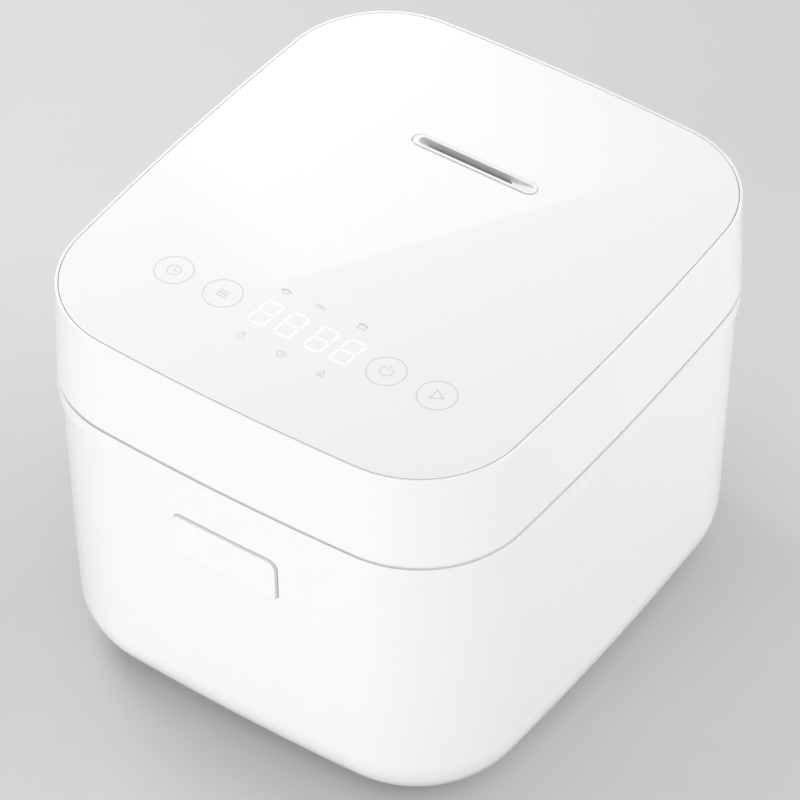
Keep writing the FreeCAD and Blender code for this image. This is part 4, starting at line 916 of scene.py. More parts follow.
class Mark(Enum):
    """The plain pictograms, in millimetres or as shares of the size they are drawn at."""

    CLOCK = (Bow(), Dash((0.0, 0.0), (0.0, 0.62)), Dash((0.0, 0.0), (0.5, 0.0)))
    BARS = tuple(Dash((-2.8, rise), (2.8, rise), 0.55) for rise in (-1.7, 0.0, 1.7))
    SWITCH = (Bow(start=120.0, sweep=300.0), Dash((0.0, 0.4), (0.0, 1.25)))
    PLAY = (Dash((1.0, 0.0), (TIP_X, TIP_Y)), Dash((TIP_X, TIP_Y), (TIP_X, -TIP_Y)),
            Dash((TIP_X, -TIP_Y), (1.0, 0.0)))
    BOWL = (Bow((0.0, 0.0), 2.2, 180.0, 180.0), Dash((-2.6, 0.0), (2.6, 0.0)),
            Bow((0.0, -0.9), 1.8, 30.0, 120.0))
    STEAM = tuple(stroke for shift in (-1.7, 0.0, 1.7)
                  for stroke in (Bow((shift, 1.0), 1.0, -60.0, -120.0),
                                 Bow((shift - 0.1, -1.0), 1.0, 60.0, -120.0)))
    POT = (Dash((-2.3, 0.8), (2.3, 0.8)), Dash((-1.9, 0.8), (-1.9, -1.8)), Dash((1.9, 0.8), (1.9, -1.8)),
           Dash((-1.9, -1.8), (1.9, -1.8)), Bow((0.0, -0.4), 2.0, 40.0, 100.0))
    FLAME = (Bow((0.0, -0.6), 1.5, 150.0, 240.0), Dash((-1.3, 0.15), (0.0, 2.2)),
             Dash((1.3, 0.15), (0.0, 2.2)))
    DROP = (Bow((0.0, 0.0), 1.1, 160.0, 220.0), Dash((-1.03, 0.4), (0.0, 2.1)),
            Dash((1.03, 0.4), (0.0, 2.1)), Dash((-2.4, -1.9), (2.4, -1.9)))


MarkRow = tuple[tuple[float, Mark, float], ...]


@dataclass
class PanelPrint:
    """What is printed on the panel: key rings, plain pictograms and the lit digits.

    Each row of marks holds their places along X, the pictograms and their sizes.
    """

    face: float = 220.0
    ink: float = 0.03
    line: float = 0.45
    key_y: float = -78.6
    key_r: float = 9.15
    keys: MarkRow = (
        (-70.5, Mark.CLOCK, 3.2), (-43.2, Mark.BARS, 1.0), (46.3, Mark.SWITCH, 3.0), (73.4, Mark.PLAY, 3.4))
    upper_y: float = -60.8
    upper: MarkRow = (
        (-20.5, Mark.BOWL, 1.0), (-2.0, Mark.STEAM, 1.0), (21.0, Mark.POT, 1.0))
    lower_y: float = -96.0
    lower: MarkRow = (
        (-20.0, Mark.FLAME, 1.0), (1.5, Mark.CLOCK, 1.9), (23.5, Mark.DROP, 1.0))
    least_steps: int = 6
    steps_per_radian: int = 12
    digit: Pair = (8.6, 15.5)
    digit_y: float = -78.25
    digit_xs: tuple[float, ...] = (-19.75, -5.55, 10.85, 25.05)
    stroke: float = 1.5
    stroke_gap: float = 0.12
    slant: float = 0.08
    blank: Blank = field(init=False, repr=False)

    def build(self) -> None:
        """Makes the grey print and the digits."""
        self.blank = Blank("panel_print")
        for x, _, _ in self.keys:
            self.bow(Bow(radius=self.key_r), (x, self.key_y), 1.0)
        for y, row in ((self.key_y, self.keys), (self.upper_y, self.upper), (self.lower_y, self.lower)):
            for x, mark, size in row:
                self.draw(mark, (x, y), size)
        dress(self.raised(), "lid", [PRINT_GREY])
        self.blank = Blank("panel_digits")
        for x in self.digit_xs:
            self.figure(x)
        dress(self.raised(), "lid", [DIGIT_LIGHT])

    def draw(self, mark: Mark, middle: Pair, size: float) -> None:
        """Draws one pictogram.

        Args:
            mark: The pictogram.
            middle: Its place on the panel.
            size: What its strokes are multiplied by.
        """
        for stroke in mark.value:
            if isinstance(stroke, Bow):
                self.bow(stroke, middle, size)
            else:
                self.dash(stroke, middle, size)

    def raised(self) -> bpy.types.Object:
        """Gives the flat print its thickness."""
        self.blank.extrude_faces(self.blank.bm.faces[:], (0, 0, self.ink))
        return self.blank.to_object()

    def bow(self, stroke: Bow, middle: Pair, size: float) -> None:
        """Draws a round stroke.

        Args:
            stroke: The stroke.
            middle: The mark's place on the panel.
            size: What the stroke is multiplied by.
        """
        start, sweep = math.radians(stroke.start), math.radians(stroke.sweep)
        x, y = (at + size * off for at, off in zip(middle, stroke.centre))
        ends = [self.blank.point(x + r * math.cos(start), y + r * math.sin(start), self.face)
                for r in (size * stroke.radius - self.line / 2, size * stroke.radius + self.line / 2)]
        edge = self.blank.bm.edges.new(ends)
        steps = max(self.least_steps, round(abs(sweep) * self.steps_per_radian))
        self.blank.spin([*ends, edge], (x, y, self.face), UP, sweep, steps, merge=abs(sweep) >= TURN)

    def dash(self, stroke: Dash, middle: Pair, size: float) -> None:
        """Draws a straight stroke.

        Args:
            stroke: The stroke.
            middle: The mark's place on the panel.
            size: What the stroke is multiplied by.
        """
        a, b = (Vector(middle) + Vector(end) * size for end in (stroke.start, stroke.end))
        run, halfway = b - a, (a + b) / 2
        matrix = (Matrix.Translation((*halfway, self.face))
                  @ Matrix.Rotation(math.atan2(run.y, run.x), 4, "Z")
                  @ Matrix.Diagonal((run.length, stroke.width or self.line, 1.0, 1.0)))
        bmesh.ops.create_grid(self.blank.bm, x_segments=1, y_segments=1, size=0.5, matrix=matrix)

    def figure(self, x: float) -> None:
        """Draws one figure with all seven segments lit.

        Args:
            x: Middle of the figure.
        """
        width, height = self.digit
        half_w, half_h = width / 2, height / 2
        gap = self.stroke * self.stroke_gap
        for rise in (-half_h, 0.0, half_h):
            self.segment(x, (-half_w + gap, rise), (half_w - gap, rise))
        for side in (-half_w, half_w):
            self.segment(x, (side, gap), (side, half_h - gap))
            self.segment(x, (side, -half_h + gap), (side, -gap))

    def segment(self, x: float, start: Pair, end: Pair) -> None:
        """Draws one pointed segment of a figure, slanted with it.

        Args:
            x: Middle of the figure.
            start: One tip, from the middle of the figure.
            end: The other tip.
        """
        a, b = Vector(start), Vector(end)
        along = (b - a).normalized() * self.stroke / 2
        across = Vector((-along.y, along.x))
        tips = [a, a + along + across, b - along + across, b, b - along - across, a + along - across]
        corners = [self.blank.point(x + tip.x + self.slant * tip.y, self.digit_y + tip.y, self.face)
                   for tip in tips]
        self.blank.bm.faces.new(corners)


@dataclass
class Body:
    """The tapered outer wall with the openings for the button and the mains inlet.

    The window and the inlet have a half width, a low and a high edge, and the cut runs from its near to its
    far end along Y. A boss has an outer radius, a bore and a height.
    """

    top: float = 159.4
    taper: float = 3.3
    wall: float = 2.6
    bottom_r: float = 33.5
    foot: float = 3.0
    floor: float = 2.6
    margin: float = 5.0
    land: float = 10.0
    rebate: float = 1.2
    lip_height: float = 3.0
    lip_edges: Pair = (0.3, 0.15)
    lip_lean: float = 0.06
    cut: Pair = (120.0, 160.0)
    window: Triple = (29.05, 116.95, 140.25)
    window_corners: Pair = (4.75, 1.75)
    inlet: Triple = (14.2, 43.3, 64.7)
    inlet_corner: float = 0.4
    boss: Triple = (4.5, 1.5, 9.0)
    boss_edges: Pair = (0.4, 0.2)
    boss_y: float = 46.0
    boss_steps: int = 24
    arc_steps: int = 18

    def build(self) -> None:
        """Makes the wall."""
        dress(self.wall_piece(), "body", [WHITE_GLOSS], ["body_shell"])

    def bottom_arc(self, radius: float, low: float) -> list[Pair]:
        """Stations of the big bottom radius.

        Args:
            radius: Radius of this side of the wall.
            low: Height at which the arc is cut off.

        Returns:
            Insets and heights from the wall down to the cut.
        """
        tilt = math.atan2(self.taper, self.top)
        centre = self.taper * (1 - self.bottom_r / self.top) + self.bottom_r / math.cos(tilt)
        end = math.asin((self.bottom_r - low) / radius)
        angles = [tilt + (end - tilt) * i / self.arc_steps for i in range(self.arc_steps + 1)]
        return [(centre - radius * math.cos(a), self.bottom_r - radius * math.sin(a)) for a in angles]

    def wall_piece(self) -> bpy.types.Object:
        """Sweeps the wall, and cuts the button's window and the inlet's opening.

        Returns:
            The body's wall.
        """
        outer = self.bottom_arc(self.bottom_r, self.foot)
        inner = self.bottom_arc(self.bottom_r - self.wall, self.foot + self.floor)
        step = outer[-1][0] + self.margin
        opening = step + self.land
        ledge = self.foot + self.rebate
        floor = self.foot + self.floor
        lip_low = self.top - self.lip_height
        inner_edge, outer_edge = self.lip_edges
        lip = rounded([(self.wall, lip_low, 0), (self.wall, self.top, inner_edge),
                       (0.0, self.top, outer_edge), (self.lip_lean, lip_low, 0)], closed=False)
        stations = [*lip, *outer, (step, self.foot), (step, ledge), (opening, ledge), (opening, floor),
                    *reversed(inner), lip[0]]
        blank = Blank("body_wall")
        blank.sweep(BODY_PLAN.draw(blank, *stations[0]), stations)
        piece = blank.to_object()
        carve(piece, self.window_tool())
        carve(piece, self.inlet_tool())
        return self.with_bosses(piece, step + self.land / 2)

    def window_tool(self) -> bpy.types.Object:
        """Makes the rounded opening for the button.

        Returns:
            The solid to cut with.
        """
        half, low, high = self.window
        near, far = self.cut
        blank = Blank("window")
        blank.rounded_block((-half, -far, low), (half, -near, high), *self.window_corners)
        return blank.to_object()

    def inlet_tool(self) -> bpy.types.Object:
        """Makes the opening for the mains inlet.

        Returns:
            The solid to cut with.
        """
        half, low, high = self.inlet
        near, far = self.cut
        blank = Blank("inlet_opening")
        blank.rounded_block((-half, near, low), (half, far, high), self.inlet_corner, self.inlet_corner,
                            EDGE_STEPS)
        return blank.to_object()

    def with_bosses(self, piece: bpy.types.Object, inset: float) -> bpy.types.Object:
        """Adds the four screw bosses on the floor ring.

        Args:
            piece: The wall.
            inset: Distance of the bosses inside the outline.

        Returns:
            The wall with its bosses.
        """
        outer, bore, height = self.boss
        outer_edge, bore_edge = self.boss_edges
        blank = Blank(piece.name)
        blank.bm.from_mesh(piece.data)
        bmesh.ops.scale(blank.bm, vec=(1 / MM, 1 / MM, 1 / MM), verts=blank.bm.verts)
        low = self.foot + self.floor
        top = low + height
        profile = rounded([(outer, low, 0), (outer, top, outer_edge),
                           (bore, top, bore_edge), (bore, low, 0)])
        for place in mirrored(BODY_PLAN.width / 2 - inset, self.boss_y):
            blank.turn(profile, self.boss_steps, place)
        old = piece.data
        bpy.data.objects.remove(piece)
        bpy.data.meshes.remove(old)
        return blank.to_object()


@dataclass
class SeamRib:
    """The set-back rib that closes the seam, on the collar in front and on the lid at the back."""

    collar_top: float = 167.1
    lid_low: float = 168.7
    inset: float = 1.3
    width: float = 1.4
    gap: float = 0.6
    edge: float = 0.2
    back: float = 117.0

    def build(self) -> None:
        """Makes the collar's rib and the lid's."""
        dress(self.collar_rib(), "body", [WHITE_GLOSS])
        dress(self.lid_rib(), "lid", [WHITE_GLOSS])

    def collar_rib(self) -> bpy.types.Object:
        """Sweeps the rib on the collar and ends it in front of the hinge.

        Returns:
            The collar's rib.
        """
        piece = self.swept("collar_rib", self.collar_top, self.lid_low - self.gap)
        carve(piece, self.half_space(self.back, LID_PLAN.depth))
        return piece

    def lid_rib(self) -> bpy.types.Object:
        """Sweeps the rib under the lid's back edge, with room for the hinge.

        Returns:
            The lid's rib.
        """
        piece = self.swept("lid_rib", self.lid_low + self.edge, self.collar_top + self.gap)
        carve(piece, self.half_space(-LID_PLAN.depth, self.back + self.gap))
        carve(piece, Lid().hinge_room())
        return piece

    def swept(self, name: str, root: float, tip: float) -> bpy.types.Object:
        """Sweeps the rib's profile round the outline.

        Args:
            name: Name of the piece.
            root: Height where it joins the wall.
            tip: Height of its free edge.

        Returns:
            The closed ring.
        """
        inner = self.inset + self.width
        return LID_PLAN.ring(name, [
            (self.inset, root, 0), (self.inset, tip, self.edge), (inner, tip, self.edge), (inner, root, 0),
        ]).to_object()

    def half_space(self, front: float, back: float) -> bpy.types.Object:
        """Makes a block wider than the cooker between two places along Y.

        Args:
            front: Where it starts.
            back: Where it ends.

        Returns:
            The solid to cut with.
        """
        blank = Blank("half_space")
        reach = LID_PLAN.width
        blank.block((-reach, front, 0.0), (reach, back, reach))
        return blank.to_object()


@dataclass
class ReleaseButton:
    """The front button, a proud plate with a lip behind the wall."""

    half: float = 28.8
    low: float = 117.2
    high: float = 140.0
    face: float = -141.726
    lip_face: float = -136.13
    lip_back: float = -134.13
    lip: float = 3.0
    corners: Pair = (4.5, 1.5)
    corner_steps: int = 12
    edge: float = 0.55
    edge_steps: int = 4
    sideways: float = 0.5

    def build(self) -> None:
        """Makes the button."""
        blank = Blank("button_cap")
        plate = blank.rounded_block((-self.half, self.face, self.low),
                                    (self.half, self.lip_face, self.high),
                                    *self.corners, self.corner_steps)
        front = {vert for vert in plate if vert.co.y < self.face + WELD}
        rim = [edge for edge in blank.bm.edges if set(edge.verts) <= front
               and any(abs(face.normal.y) < self.sideways for face in edge.link_faces)]
        blank.soften(rim, self.edge, self.edge_steps)
        around = [corner + self.lip for corner in self.corners]
        blank.rounded_block((-self.half - self.lip, self.lip_face, self.low - self.lip),
                            (self.half + self.lip, self.lip_back, self.high + self.lip), *around)
        dress(blank.to_object(), "release", [WHITE_GLOSS], ["release_button"])


@dataclass
class HingeCover:
    """The barrel between collar and lid at the back.

    The room is the span of heights, from the barrel's underside, in which the wall cuts it.
    """

    axis: Pair = (131.0, 177.5)
    radius: float = 12.9
    half: float = 55.0
    low: float = 167.1
    steps: int = 40
    gap: float = 0.2
    lean: float = 1.96
    top: float = 220.0
    room: Pair = (-20.0, 60.0)
    edge: float = 0.5
    sharp: float = 30.0

    def build(self) -> None:
        """Makes the barrel, cut flush with the bowed back wall."""
        blank = Blank("hinge_barrel")
        blank.arch(self.half, self.axis, self.radius, self.low, self.steps)
        piece = blank.to_object()
        carve(piece, self.back_wall(), Cut.KEEP_COMMON)
        dress(piece, "body", [WHITE_GLOSS], ["hinge_housing"], self.edge, self.sharp)

    def back_wall(self) -> bpy.types.Object:
        """Makes a solid that fills the cooker's outer wall.

        Returns:
            The solid to keep the common part with.
        """
        blank = Blank("wall_room")
        slope = self.lean / (self.top - self.low)
        low, high = ((self.gap + slope * rise, self.low + rise) for rise in self.room)
        under = LID_PLAN.draw(blank, *low)
        over = blank.sweep(under, [low, high])
        blank.fill(under)
        blank.fill(over)
        return blank.to_object()


@dataclass
class Feet:
    """Four rubber feet with a hollow underside and a plug in the base, each with a radius and a height."""

    radius: float = 9.0
    height: float = 3.0
    plug: Pair = (3.0, 5.6)
    plug_edge: float = 0.5
    hollow: Pair = (5.6, 0.9)
    hollow_edge: float = 0.5
    flare: float = 0.8
    flare_edge: float = 0.4
    edge: float = 0.9
    top_edge: float = 0.3
    steps: int = 48
    place: Pair = (65.05, 80.4)

    def build(self) -> None:
        """Makes each foot."""
        hollow_r, hollow_h = self.hollow
        plug_r, plug_top = self.plug
        profile = rounded([
            (0.0, hollow_h, 0), (hollow_r, hollow_h, self.hollow_edge),
            (hollow_r + self.flare, 0.0, self.flare_edge), (self.radius, 0.0, self.edge),
            (self.radius, self.height, self.top_edge), (plug_r, self.height, 0),
            (plug_r, plug_top, self.plug_edge), (0.0, plug_top, 0),
        ], closed=False)
        for x_name, sx in (("left", -1), ("right", 1)):
            for y_name, sy in (("front", -1), ("back", 1)):
                blank = Blank(f"rubber_foot_{y_name}_{x_name}")
                blank.turn(profile, self.steps, (sx * self.place[0], sy * self.place[1]))
                dress(blank.to_object(), "body", [RUBBER], [f"foot_{y_name}_{x_name}"])


@dataclass
class Pot:
    """The lift-out pot with its coating, rolled flange and level marks.

    Each level line has a sweep and a shift from the marks' angle, in radians.
    """

    radius: float = 98.0
    wall: float = 2.0
    low: float = 50.0
    corner: float = 22.0
    flange: float = 108.0
    flange_low: float = 165.8
    flange_top: float = 167.4
    flange_edge: float = 0.7
    root_edge: float = 0.6
    brim_edge: float = 1.4
    corner_steps: int = 12
    steps: int = 128
    coat_edge: float = 0.2
    marks: tuple[float, ...] = (74.0, 90.0, 106.0, 122.0, 138.0)
    mark_angle: float = math.pi / 2
    mark_ink: float = 0.08
    lines: tuple[Pair, ...] = ((0.10, -0.16), (0.05, 0.08))
    line_half: float = 0.3
    line_bite: float = 0.02
    line_steps: int = 6
    number_size: float = 6.0

    def build(self) -> None:
        """Makes the pot and its level marks."""
        blank = Blank("cooking_pot")
        inner, floor = self.radius - self.wall, self.low + self.wall
        profile = rounded([
            (0.0, self.low, 0), (self.radius, self.low, self.corner),
            (self.radius, self.flange_low, self.root_edge),
            (self.flange, self.flange_low, self.flange_edge),
            (self.flange, self.flange_top, self.flange_edge),
            (inner, self.flange_top, self.brim_edge), (inner, floor, self.corner - self.wall),
            (0.0, floor, 0),
        ], closed=False, steps=self.corner_steps)
        blank.turn(profile, self.steps)
        piece = blank.to_object()
        for face in piece.data.polygons:
            x, y, z = face.center / MM
            inside = math.hypot(x, y) < self.radius - self.wall / 2 and z > self.low + self.wall / 2
            on_flange = z > self.flange_top - self.coat_edge
            face.material_index = 0 if inside or on_flange else 1
        dress(piece, "pot", [POT_COATING, POT_OUTSIDE], ["pot_base", "pot_wall"])
        dress(self.level_marks(inner), "pot", [POT_PRINT])

    def level_marks(self, inner: float) -> bpy.types.Object:
        """Prints level lines and plain numbers on the inside of the back wall.

        Args:
            inner: Inner radius of the pot.

        Returns:
            The print as one mesh.
        """
        blank = Blank("pot_level_marks")
        for number, z in enumerate(self.marks, start=1):
            for sweep, shift in self.lines:
                self.level_line(blank, inner, z, self.mark_angle + shift, sweep)
            self.level_number(blank, inner, z, str(number))
        return blank.to_object()

    def level_line(self, blank: Blank, inner: float, z: float, start: float, sweep: float) -> None:
        """Spins one short raised line on the pot's wall.

        Args:
            blank: The mesh that takes it.
            inner: Inner radius of the pot.
            z: Height of the line's middle.
            start: Angle where it starts, in radians.
            sweep: Angle that it covers, in radians.
        """
        root, tip = inner + self.line_bite, inner - self.mark_ink
        low, high = z - self.line_half, z + self.line_half
        verts = [blank.point(r * math.cos(start), r * math.sin(start), h)
                 for r, h in ((root, low), (tip, low), (tip, high), (root, high))]
        blank.spin([blank.bm.faces.new(verts)], (0.0, 0.0, 0.0), UP, sweep, self.line_steps)

    def level_number(self, blank: Blank, inner: float, z: float, text: str) -> None:
        """Wraps one plain number round the inside of the wall.

        Args:
            blank: The mesh that takes it.
            inner: Inner radius of the pot.
            z: Height of the number's middle.
            text: The number.
        """
        curve = bpy.data.curves.new("level_number", "FONT")
        curve.body, curve.size, curve.extrude = text, self.number_size, self.mark_ink / 2
        curve.align_x, curve.align_y = "CENTER", "CENTER"
        holder = bpy.data.objects.new("level_number", curve)
        bpy.context.scene.collection.objects.link(holder)
        graph = bpy.context.evaluated_depsgraph_get()
        mesh = bpy.data.meshes.new_from_object(holder.evaluated_get(graph))
        for vert in mesh.vertices:
            angle = self.mark_angle - vert.co.x / inner
            reach = inner - self.mark_ink / 2 - vert.co.z
            vert.co = (reach * math.cos(angle), reach * math.sin(angle), z + vert.co.y)
        blank.bm.from_mesh(mesh)
        bpy.data.objects.remove(holder)
        bpy.data.curves.remove(curve)
        bpy.data.meshes.remove(mesh)


@dataclass
class InnerLid:
    """The lift-off plate under the lid, its sealing ring and its centre grommet.

    The bead has an inner and an outer radius and a drop, the ring's edges are those of its crest, its slit
    and its side, and the root of its lip has a width and an edge.
    """

    low: float = 171.9
    thick: float = 1.2
    radius: float = 107.0
    rim_edge: float = 0.4
    hole: float = 7.5
    hole_edge: float = 0.3
    bead: Triple = (76.0, 90.0, 0.7)
    bend: float = 2.0
    bend_steps: int = 4
    steps: int = 128
    steam_y: float = 58.7
    steam_ring: float = 7.0
    steam_hole: float = 2.2
    steam_count: int = 6
    drill: float = 6.0
    drill_steps: int = 24
    slit_fit: float = 0.05
    ring_outer: float = 110.0
    ring_width: float = 6.0
    ring_height: float = 4.6
    ring_fit: float = 0.1
    ring_edges: Triple = (0.6, 0.2, 0.8)
    lip: float = 167.7
    lip_half: float = 1.5
    lip_edge: float = 0.6
    lip_root: Pair = (3.0, 0.5)
    stud: float = 5.05
    grommet: float = 10.0
    grommet_drop: float = 2.2
    grommet_taper: float = 1.25
    grommet_edges: Pair = (0.3, 0.5)
    grommet_steps: int = 64
    ceiling: float = 176.0

    def build(self) -> None:
        """Makes the plate, the ring and the grommet."""
        dress(self.plate(), "lid", [SPUN_METAL], ["inner_lid"])
        dress(self.sealing_ring(), "lid", [SILICONE], ["pot_gasket"])
        dress(self.centre_grommet(), "lid", [SILICONE], ["lid_grommet"])

    def plate(self) -> bpy.types.Object:
        """Turns the pressed plate and drills its steam holes.

        Returns:
            The plate.
        """
        low, bend = self.low, self.bend
        inner, outer, drop = self.bead
        under = [
            (self.hole, low, self.hole_edge), (inner, low, bend), (inner + bend, low - drop, bend),
            (outer - bend, low - drop, bend), (outer, low, bend), (self.radius, low, self.rim_edge),
        ]
        over = [(radius, z + self.thick, edge) for radius, z, edge in reversed(under)]
        blank = Blank("inner_plate")
        blank.turn(rounded([*under, *over], steps=self.bend_steps), self.steps)
        piece = blank.to_object()
        carve(piece, self.drills())
        return piece

    def drills(self) -> bpy.types.Object:
        """Makes the ring of rods that cut the steam holes.

        Returns:
            The rods as one mesh.
        """
        blank = Blank("drills")
        middle = self.low + self.thick / 2
        for i in range(self.steam_count):
            angle = TURN * i / self.steam_count
            place = Matrix.Translation((self.steam_ring * math.cos(angle),
                                        self.steam_y + self.steam_ring * math.sin(angle), middle))
            bmesh.ops.create_cone(blank.bm, cap_ends=True, segments=self.drill_steps, depth=self.drill,
                                  radius1=self.steam_hole, radius2=self.steam_hole, matrix=place)
        return blank.to_object()

    def slit(self) -> Pair:
        """Lower and upper height of the slits that hold the plate's edges."""
        return self.low - self.slit_fit, self.low + self.thick + self.slit_fit

    def sealing_ring(self) -> bpy.types.Object:
        """Turns the soft ring with its groove and its hanging lip.

        Returns:
            The ring.
        """
        outer, inner = self.ring_outer, self.ring_outer - self.ring_width
        groove = self.radius + self.ring_fit
        middle = self.low + self.thick / 2
        top, low = middle + self.ring_height / 2, middle - self.ring_height / 2
        slit_low, slit_top = self.slit()
        crest, brink, side = self.ring_edges
        root, root_edge = self.lip_root
        blank = Blank("sealing_ring")
        blank.turn(rounded([
            (inner, top, crest), (inner, slit_top, brink), (groove, slit_top, 0), (groove, slit_low, 0),
            (inner, slit_low, brink), (inner, low, root_edge),
            (inner - self.lip_half, self.lip, self.lip_edge),
            (inner + self.lip_half, self.lip, self.lip_edge),
            (inner + root, low, root_edge), (outer, low, side), (outer, top, side),
        ]), self.steps)
        return blank.to_object()

    def centre_grommet(self) -> bpy.types.Object:
        """Turns the grommet that holds the plate on the lid's stud.

        Returns:
            The grommet.
        """
        outer, low = self.grommet, self.low - self.grommet_drop
        groove = self.hole - self.slit_fit
        slit_low, slit_top = self.slit()
        fine, broad = self.grommet_edges
        blank = Blank("plate_grommet")
        blank.turn(rounded([
            (self.stud, self.ceiling, 0), (self.stud, low, fine), (outer - self.grommet_taper, low, broad),
            (outer, slit_low, fine), (groove, slit_low, 0), (groove, slit_top, 0), (outer, slit_top, fine),
            (groove, self.ceiling, 0),
        ]), self.grommet_steps)
        return blank.to_object()


@dataclass
class Coil:
    """One wound spring along an axis."""

    name: str
    node: str
    body: str
    centre: Triple
    axis: Triple
    radius: float
    wire: float
    length: float
    turns: int
    steps: int = 20
    wire_steps: int = 10
    sharp: float = 60.0

    def build(self) -> bpy.types.Object:
        """Winds the spring.

        Returns:
            The dressed spring.
        """
        axis = Vector(self.axis)
        aside = axis.orthogonal().normalized()
        start = Vector(self.centre) + axis * self.wire / 2 + aside * self.radius
        blank = Blank(self.name)
        facing = axis.cross(aside).to_track_quat("Z", "Y").to_matrix().to_4x4()
        ring = bmesh.ops.create_circle(blank.bm, cap_ends=False, segments=self.wire_steps,
                                       radius=self.wire / 2,
                                       matrix=Matrix.Translation(start) @ facing)["verts"]
        first = edges_at(ring)
        count = self.turns * self.steps
        climb = axis * (self.length - self.wire) / count
        made = blank.spin([*ring, *first], self.centre, self.axis, TURN * self.turns, count, climb=climb)
        last = [g for g in made if isinstance(g, BMEdge)]
        for loop in (first, last):
            bmesh.ops.edgeloop_fill(blank.bm, edges=loop)
        return dress(blank.to_object(), self.body, [STEEL], [self.node], sharp=self.sharp)

    def end(self, share: float) -> Triple:
        """The point at this share of the spring's length, in metres."""
        return tuple((Vector(self.centre) + Vector(self.axis) * self.length * share) * MM)


@dataclass
class Springs:
    """The three wound springs of the button, the sensor and the hinge."""

    button: Coil = field(default_factory=lambda: Coil(
        "button_coil", "button_spring", "body", centre=(0.0, -131.13, 129.25), axis=ALONG_Y,
        radius=4.5, wire=1.0, length=15.2, turns=5))
    sensor: Coil = field(default_factory=lambda: Coil(
        "sensor_coil", "sensor_spring", "body", centre=(0.0, 0.0, 35.0), axis=UP,
        radius=11.0, wire=1.2, length=12.0, turns=4))
    hinge: Coil = field(default_factory=lambda: Coil(
        "hinge_coil", "hinge_spring", "body", centre=(-26.0, 131.0, 177.5), axis=ALONG_X,
        radius=4.6, wire=1.4, length=52.0, turns=12))
    button_travel: float = 3.2
    sensor_travel: float = 2.0

    def build(self) -> None:
        """Winds the springs and gives those of the button and the sensor a mesh of their own."""
        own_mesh(self.button.build(), "release_press", axis=ALONG_Y, anchor=self.button.end(1.0),
                  keep=1 - self.button_travel / self.button.length)
        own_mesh(self.sensor.build(), "sensor_press", axis=UP, anchor=self.sensor.end(0.0),
                  keep=1 - self.sensor_travel / self.sensor.length)
        self.hinge.build()


@dataclass
class CrossScrews:
    """A set of pan-head screws with cross recesses.

    The head has a radius and a height, its dome a largest radius and a share of the height, and the recess a
    span, a slit and a depth.
    """

    name: str
    node: str
    body: str
    places: tuple[Pair, ...]
    seat: float
    length: float
    shank: float = 1.45
    head: Pair = (3.0, 1.6)
    dome: Pair = (1.0, 0.6)
    seat_edge: float = 0.1
    tip_edge: float = 0.5
    steps: int = 32
    recess: Triple = (3.2, 0.8, 0.9)
    recess_clear: float = 1.0

    def build(self) -> None:
        """Makes the screws with their heads down, and cuts their recesses."""
        head_r, head_h = self.head
        low, tip = self.seat - head_h, self.seat + self.length
        most, share = self.dome
        blank = Blank(self.name)
        profile = rounded([
            (0.0, low, 0), (head_r, low, min(most, head_h * share)), (head_r, self.seat, self.seat_edge),
            (self.shank, self.seat, 0), (self.shank, tip, self.tip_edge), (0.0, tip, 0),
        ], closed=False)
        for place in self.places:
            blank.turn(profile, self.steps, place)
        piece = blank.to_object()
        span, slit, deep = self.recess
        for w, d in ((span, slit), (slit, span)):
            tool = Blank("driver")
            for x, y in self.places:
                tool.block((x - w / 2, y - d / 2, low - self.recess_clear),
                           (x + w / 2, y + d / 2, low + deep))
            carve(piece, tool.to_object())
        dress(piece, self.body, [STEEL], [self.node])


@dataclass(frozen=True)
class Softbox:
    """One rectangular studio light; its place is in millimetres and its sides are in metres.

    Each stop of its fade has a position and a level.
    """

    name: str
    place: Triple
    size: Pair
    power: float
    aim: Triple = (0.0, 0.0, 120.0)
    level_turn: float | None = None
    fade: tuple[Pair, ...] = ()

    def hang(self) -> None:
        """Adds the light, which shows only in what it lights."""
        data = bpy.data.lights.new(self.name, "AREA")
        data.shape, data.energy = "RECTANGLE", self.power
        data.size, data.size_y = self.size
        light = bpy.data.objects.new(self.name, data)
        light.location = Vector(self.place) * MM
        light.visible_camera = False
        if self.level_turn is None:
            sight = Vector(self.aim) - Vector(self.place)
            light.rotation_euler = sight.to_track_quat("-Z", "Y").to_euler()
        else:
            light.rotation_euler = (0.0, 0.0, math.radians(self.level_turn))
            self.soften_ends(data)
        bpy.context.scene.collection.objects.link(light)

    def soften_ends(self, data: bpy.types.AreaLight) -> None:
        """Fades a level light along its first side.

        Args:
            data: The light, whose brightness follows the stops in fade.
        """
        turn = math.radians(self.level_turn)
        along = Vector((math.cos(turn), math.sin(turn), 0.0))
        middle, reach = Vector(self.place).dot(along) * MM, self.size[0] / 2
        data.use_nodes = True
        tree = data.node_tree
        dot = tree.nodes.new("ShaderNodeVectorMath")
        dot.operation = "DOT_PRODUCT"
        dot.inputs[1].default_value = along
        tree.links.new(tree.nodes.new("ShaderNodeNewGeometry").outputs["Position"], dot.inputs[0])
        share = map_range(tree, dot.outputs["Value"], (middle - reach, middle + reach))
        ramp = tree.nodes.new("ShaderNodeValToRGB")
        stops = ramp.color_ramp.elements
        for _ in self.fade[2:]:
            stops.new(0.5)
        for stop, (position, level) in zip(stops, self.fade):
            stop.position, stop.color = position, (level, level, level, 1.0)
        tree.links.new(share, ramp.inputs["Fac"])
        tree.links.new(ramp.outputs["Color"], tree.nodes["Emission"].inputs["Color"])


